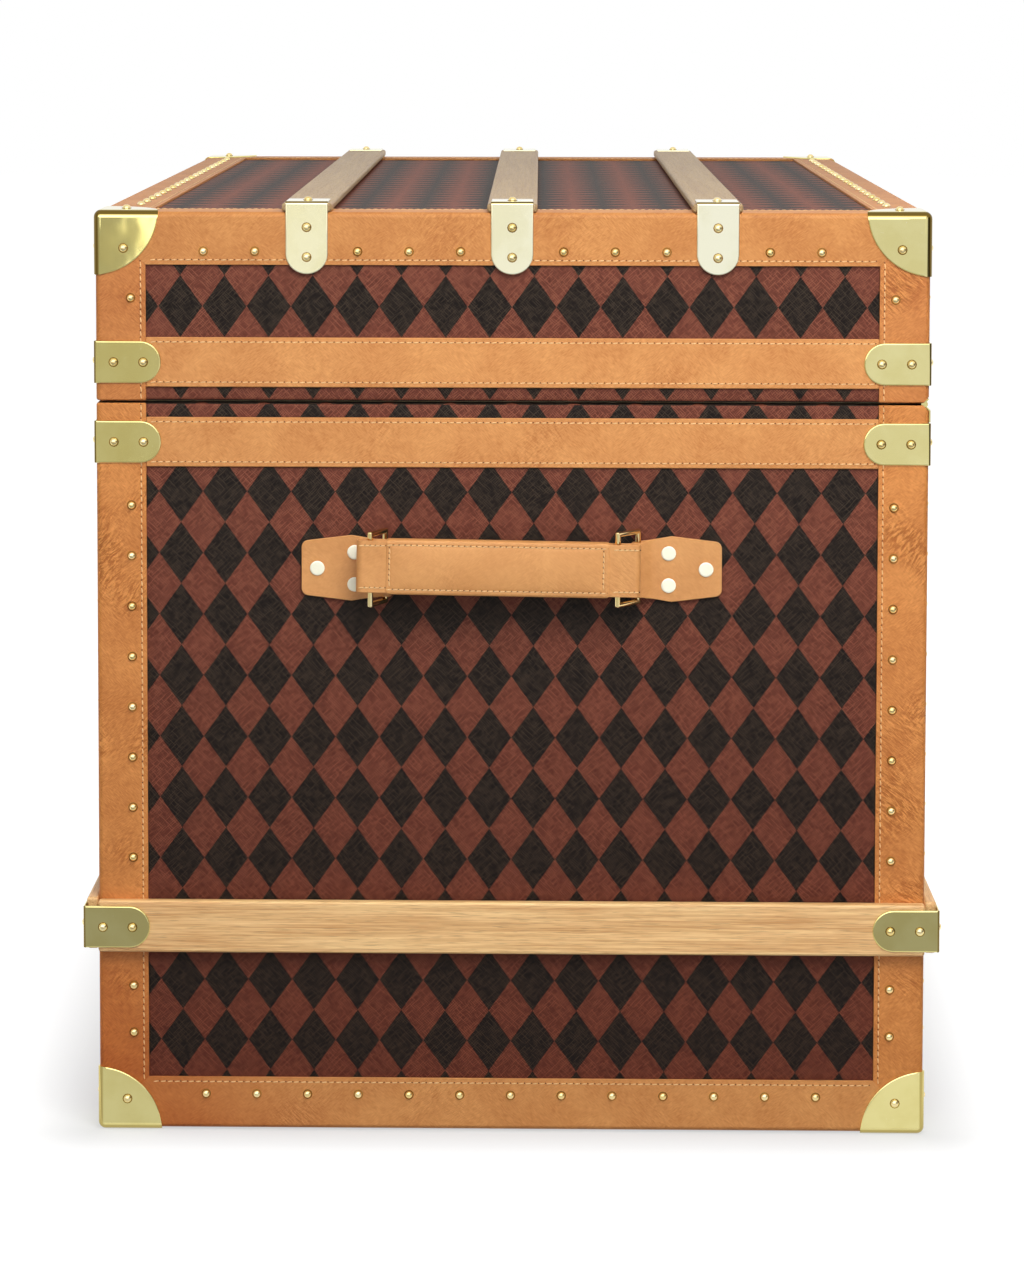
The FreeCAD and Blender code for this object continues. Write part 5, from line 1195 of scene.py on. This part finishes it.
def build():
    for body, name, low, high, mouth in (("trunk", "body_canvas", 2.0, MOUTH, MOUTH),
                                         ("lid", "lid_canvas", RIM, HEIGHT - HIDE, RIM)):
        finished(canvas_cover(f"{name}_cover", low, high, mouth), body, "canvas", "printed_canvas", name)
    handles()
    for slot, look, nodes in FITTINGS:
        for node, body, width in nodes:
            finished(refined(node, width), body, slot, look, node)
    for body, look, node, make, *given in (
            ("trunk", "upright_leather", "body_corner_edging", upright_strips, "body_corner_leather",
             FOOT, MOUTH, 1),
            ("trunk", "edging_leather", "body_base_edging", level_strips, "base_edge_leather", FOOT, 1),
            ("lid", "lid_upright_leather", "lid_corner_edging", upright_strips, "lid_corner_leather",
             HEIGHT, RIM, -1),
            ("lid", "top_edge_leather", "lid_top_edging", level_strips, "top_edge_leather", HEIGHT, -1),
            ("trunk", "edging_leather", "body_band", bands, "body_leather_bands", *BAND_LOW),
            ("lid", "edging_leather", "lid_band", bands, "lid_leather_bands", *BAND_HIGH)):
        finished(make(*given), body, "leather", look, node)
    plated, foot_plated = ("polished_brass", "bent_brass"), ("polished_brass", "foot_bent_brass")
    for body, node, make, *given in (
            ("lid", "lid_corner_clamps", corner_plates, "lid_clamps", 0, LID_CLAMP, plated),
            ("trunk", "body_corner_clamps", corner_plates, "body_clamps", 0, BODY_CLAMP, plated),
            ("trunk", "belt_corner_plates", corner_plates, "belt_plates", BELT_DEEP, BELT - PLATE_TALL / 2,
             plated),
            ("trunk", "base_corner_caps", corner_caps, "base_caps", 0, 1, foot_plated),
            ("lid", "lid_corner_caps", corner_caps, "lid_caps", HEIGHT + SHEET, -1, plated),
            ("lid", "slat_end_caps", slat_tips, "slat_tip_straps", ("pale_brass", "pale_bent_brass"))):
        finished(make(*given), body, "brass", None, node)
    end_belts, side_belts = belts()
    finished(end_belts, "trunk", "oak", "oak_across", "belt_slats_ends")
    finished(side_belts, "trunk", "oak", "oak_side", "belt_slats_sides")
    for name, y in zip(("front", "middle", "back"), SLAT_ROWS):
        finished(lid_slat(f"lid_slat_{name}", y), "lid", "oak", "oak_along_painted_shade_and_sheen", f"top_slat_{name}")
    for parts, slot, nodes in ((rivet_heads(), "brass", ("body_rivets", "lid_rivets")),
                               (nail_rows(), "brass", ()), (stitching(), "leather", ())):
        for number, body in enumerate(("trunk", "lid")):
            finished(parts[number], body, slot, None, *nodes[number:number + 1])


# ---- floor, cards and light

MIRRORED_ONLY = ("camera", "diffuse", "transmission", "shadow", "volume_scatter")
TINTS = (1.0, 0.97, 0.86, 1), (0.98, 1.0, 1.12, 1)
FAR_LEVELS = (-5.0, 0.59, 0), (0.0, 0.87, 0.3)

# Name, two corners in millimetres, levels and perhaps tints of each card.
CARDS = (
    ("upper_wall_card", (3600, -5000, 250), (3650, 5000, 720),
     ((-5.0, 0.49, 0), (-0.615, 2.4, 0.01), (-0.5, 0.97, 0.03), (0.42, 0.83, 0.06)), TINTS),
    ("lower_wall_card", (3600, -5000, 5), (3650, 5000, 249), FAR_LEVELS, TINTS),
    ("far_card", (1400, -3000, 0.5), (3600, 3000, 1.5), FAR_LEVELS, TINTS),
    ("near_card", (410, -600, 0.5), (640, 600, 1.5), ((-5.0, 0.68, 0), (0.0, 0.9, 0.3))),
    ("table_card", (640, -3000, 0.5), (1400, 3000, 1.5), ((-3.0, 0.37, 0), (0.0, 0.41, 0.5))),
    ("window_card", (3600, -3200, 760), (3650, 900, 4300), ((-5.0, 2.4, 0),)),
    ("left_flag", (620, -1950, 5), (1250, -1900, 2400), ((-5.0, 0.6, 0),)),
    ("right_flag", (500, 1900, 5), (2400, 1950, 1300), ((-5.0, 0.2, 0),)),
    ("lamp_card", (1050, -150, 1500), (1650, 750, 1510), ((-5.0, 3.0, 0),)))

# Name, place, aim, width and power of each lamp, in metres and watts.
LAMPS = (("key", (1.35, 0.32, 1.5), (0.4, 0.0, 0.5), 0.9, 25),
         ("low_right", (1.6, 0.75, 0.4), (0.4, 0.2, 0.25), 0.6, 2.4),
         ("front_left", (1.6, -0.6, 0.8), (0.4, -0.05, 0.4), 0.7, 2.5),
         ("fill", (0.2, -2.6, 1.4), (0, 0, 0.3), 1.6, 26),
         ("back", (-2.2, 1.6, 1.6), (0, 0, 0.35), 1.6, 34))


def card(name, corner, opposite, levels, tints=(WHITE, WHITE)):
    """A board that only polished metal mirrors. Its brightness changes across it: each level starts at a place
    along Y, with half the width of the change."""
    board = block(name, corner, opposite)
    across = coordinates(new_material(name)).parts()[1]
    level = levels[0][1]
    for (_, before, _), (place, after, ramp) in zip(levels, levels[1:]):
        level = spread(across, place - ramp, place + ramp) * (after - before) + level
    glow = lay("Emission", {"Color": mixed(spread(across, -0.7, 0.5), *tints), "Strength": level})
    lay("OutputMaterial", {"Surface": glow[0]})
    board.data.materials.append(LOOKS[name])
    for ray in MIRRORED_ONLY:
        setattr(board, "visible_" + ray, False)


def background_rays(tree):
    """1 for the rays that show the background: those from the camera and those mirrored or let through."""
    rays = lay("LightPath", {}, tree)
    seen_through = rays["Is Glossy Ray"].reckon("MAXIMUM", rays["Is Transmission Ray"])
    return rays["Is Camera Ray"].reckon("MAXIMUM", seen_through)


def floor_material(name):
    """Grey paper to the trunk's light, and white to the camera with a faint shade round the foot: partly the
    real shadow, partly painted shadow where the glow is lower near the trunk.
    """
    tree = new_material(name)
    where = coordinates(tree)
    colour = mixed(clouds(where, 3.0), (0.36, 0.36, 0.36, 1), (0.38, 0.38, 0.38, 1))
    paper = lay("BsdfDiffuse", {"Color": colour})
    shade = lay("BsdfDiffuse", {"Color": (0.25, 0.25, 0.25, 1)}, tree)
    x, y, _ = where.parts()
    beside, before = ((abs(place) - half * MM).reckon("MAXIMUM", 0.0)
                      for place, half in ((x, HALF_LENGTH), (y, HALF_WIDTH)))
    away = (beside * beside + before * before).reckon("SQRT")
    # Painted shadow: the glow is weaker near the trunk.
    glow = lay("Emission", {"Color": WHITE, "Strength": spread(away, -0.03, 0.1, 0.5, 1.0)})
    both = lay("AddShader", {0: shade[0], 1: glow[0]})
    choice = lay("MixShader", {0: background_rays(tree), 1: paper[0], 2: both[0]})
    lay("OutputMaterial", {"Surface": choice[0]})


def studio():
    put_down()
    bpy.ops.mesh.primitive_plane_add(size=24, location=(0, 0, 0))
    floor = keep("floor")
    floor_material("floor_paper")
    floor.data.materials.append(LOOKS["floor_paper"])
    for settings in CARDS:
        card(*settings)
    for settings in LAMPS:
        soft_lamp(*settings)
    world = bpy.context.scene.world = bpy.data.worlds.new("studio")
    world.use_nodes = True
    world.node_tree.nodes.clear()
    strength = between(background_rays(world.node_tree), 0.07, 1.0)
    sky = lay("Background", {"Color": WHITE, "Strength": strength})
    lay("OutputWorld", {"Surface": sky[0]})
    bpy.context.scene.view_settings.view_transform = "Standard"


place_camera()
make_materials()
dress_frame()
build()
studio()
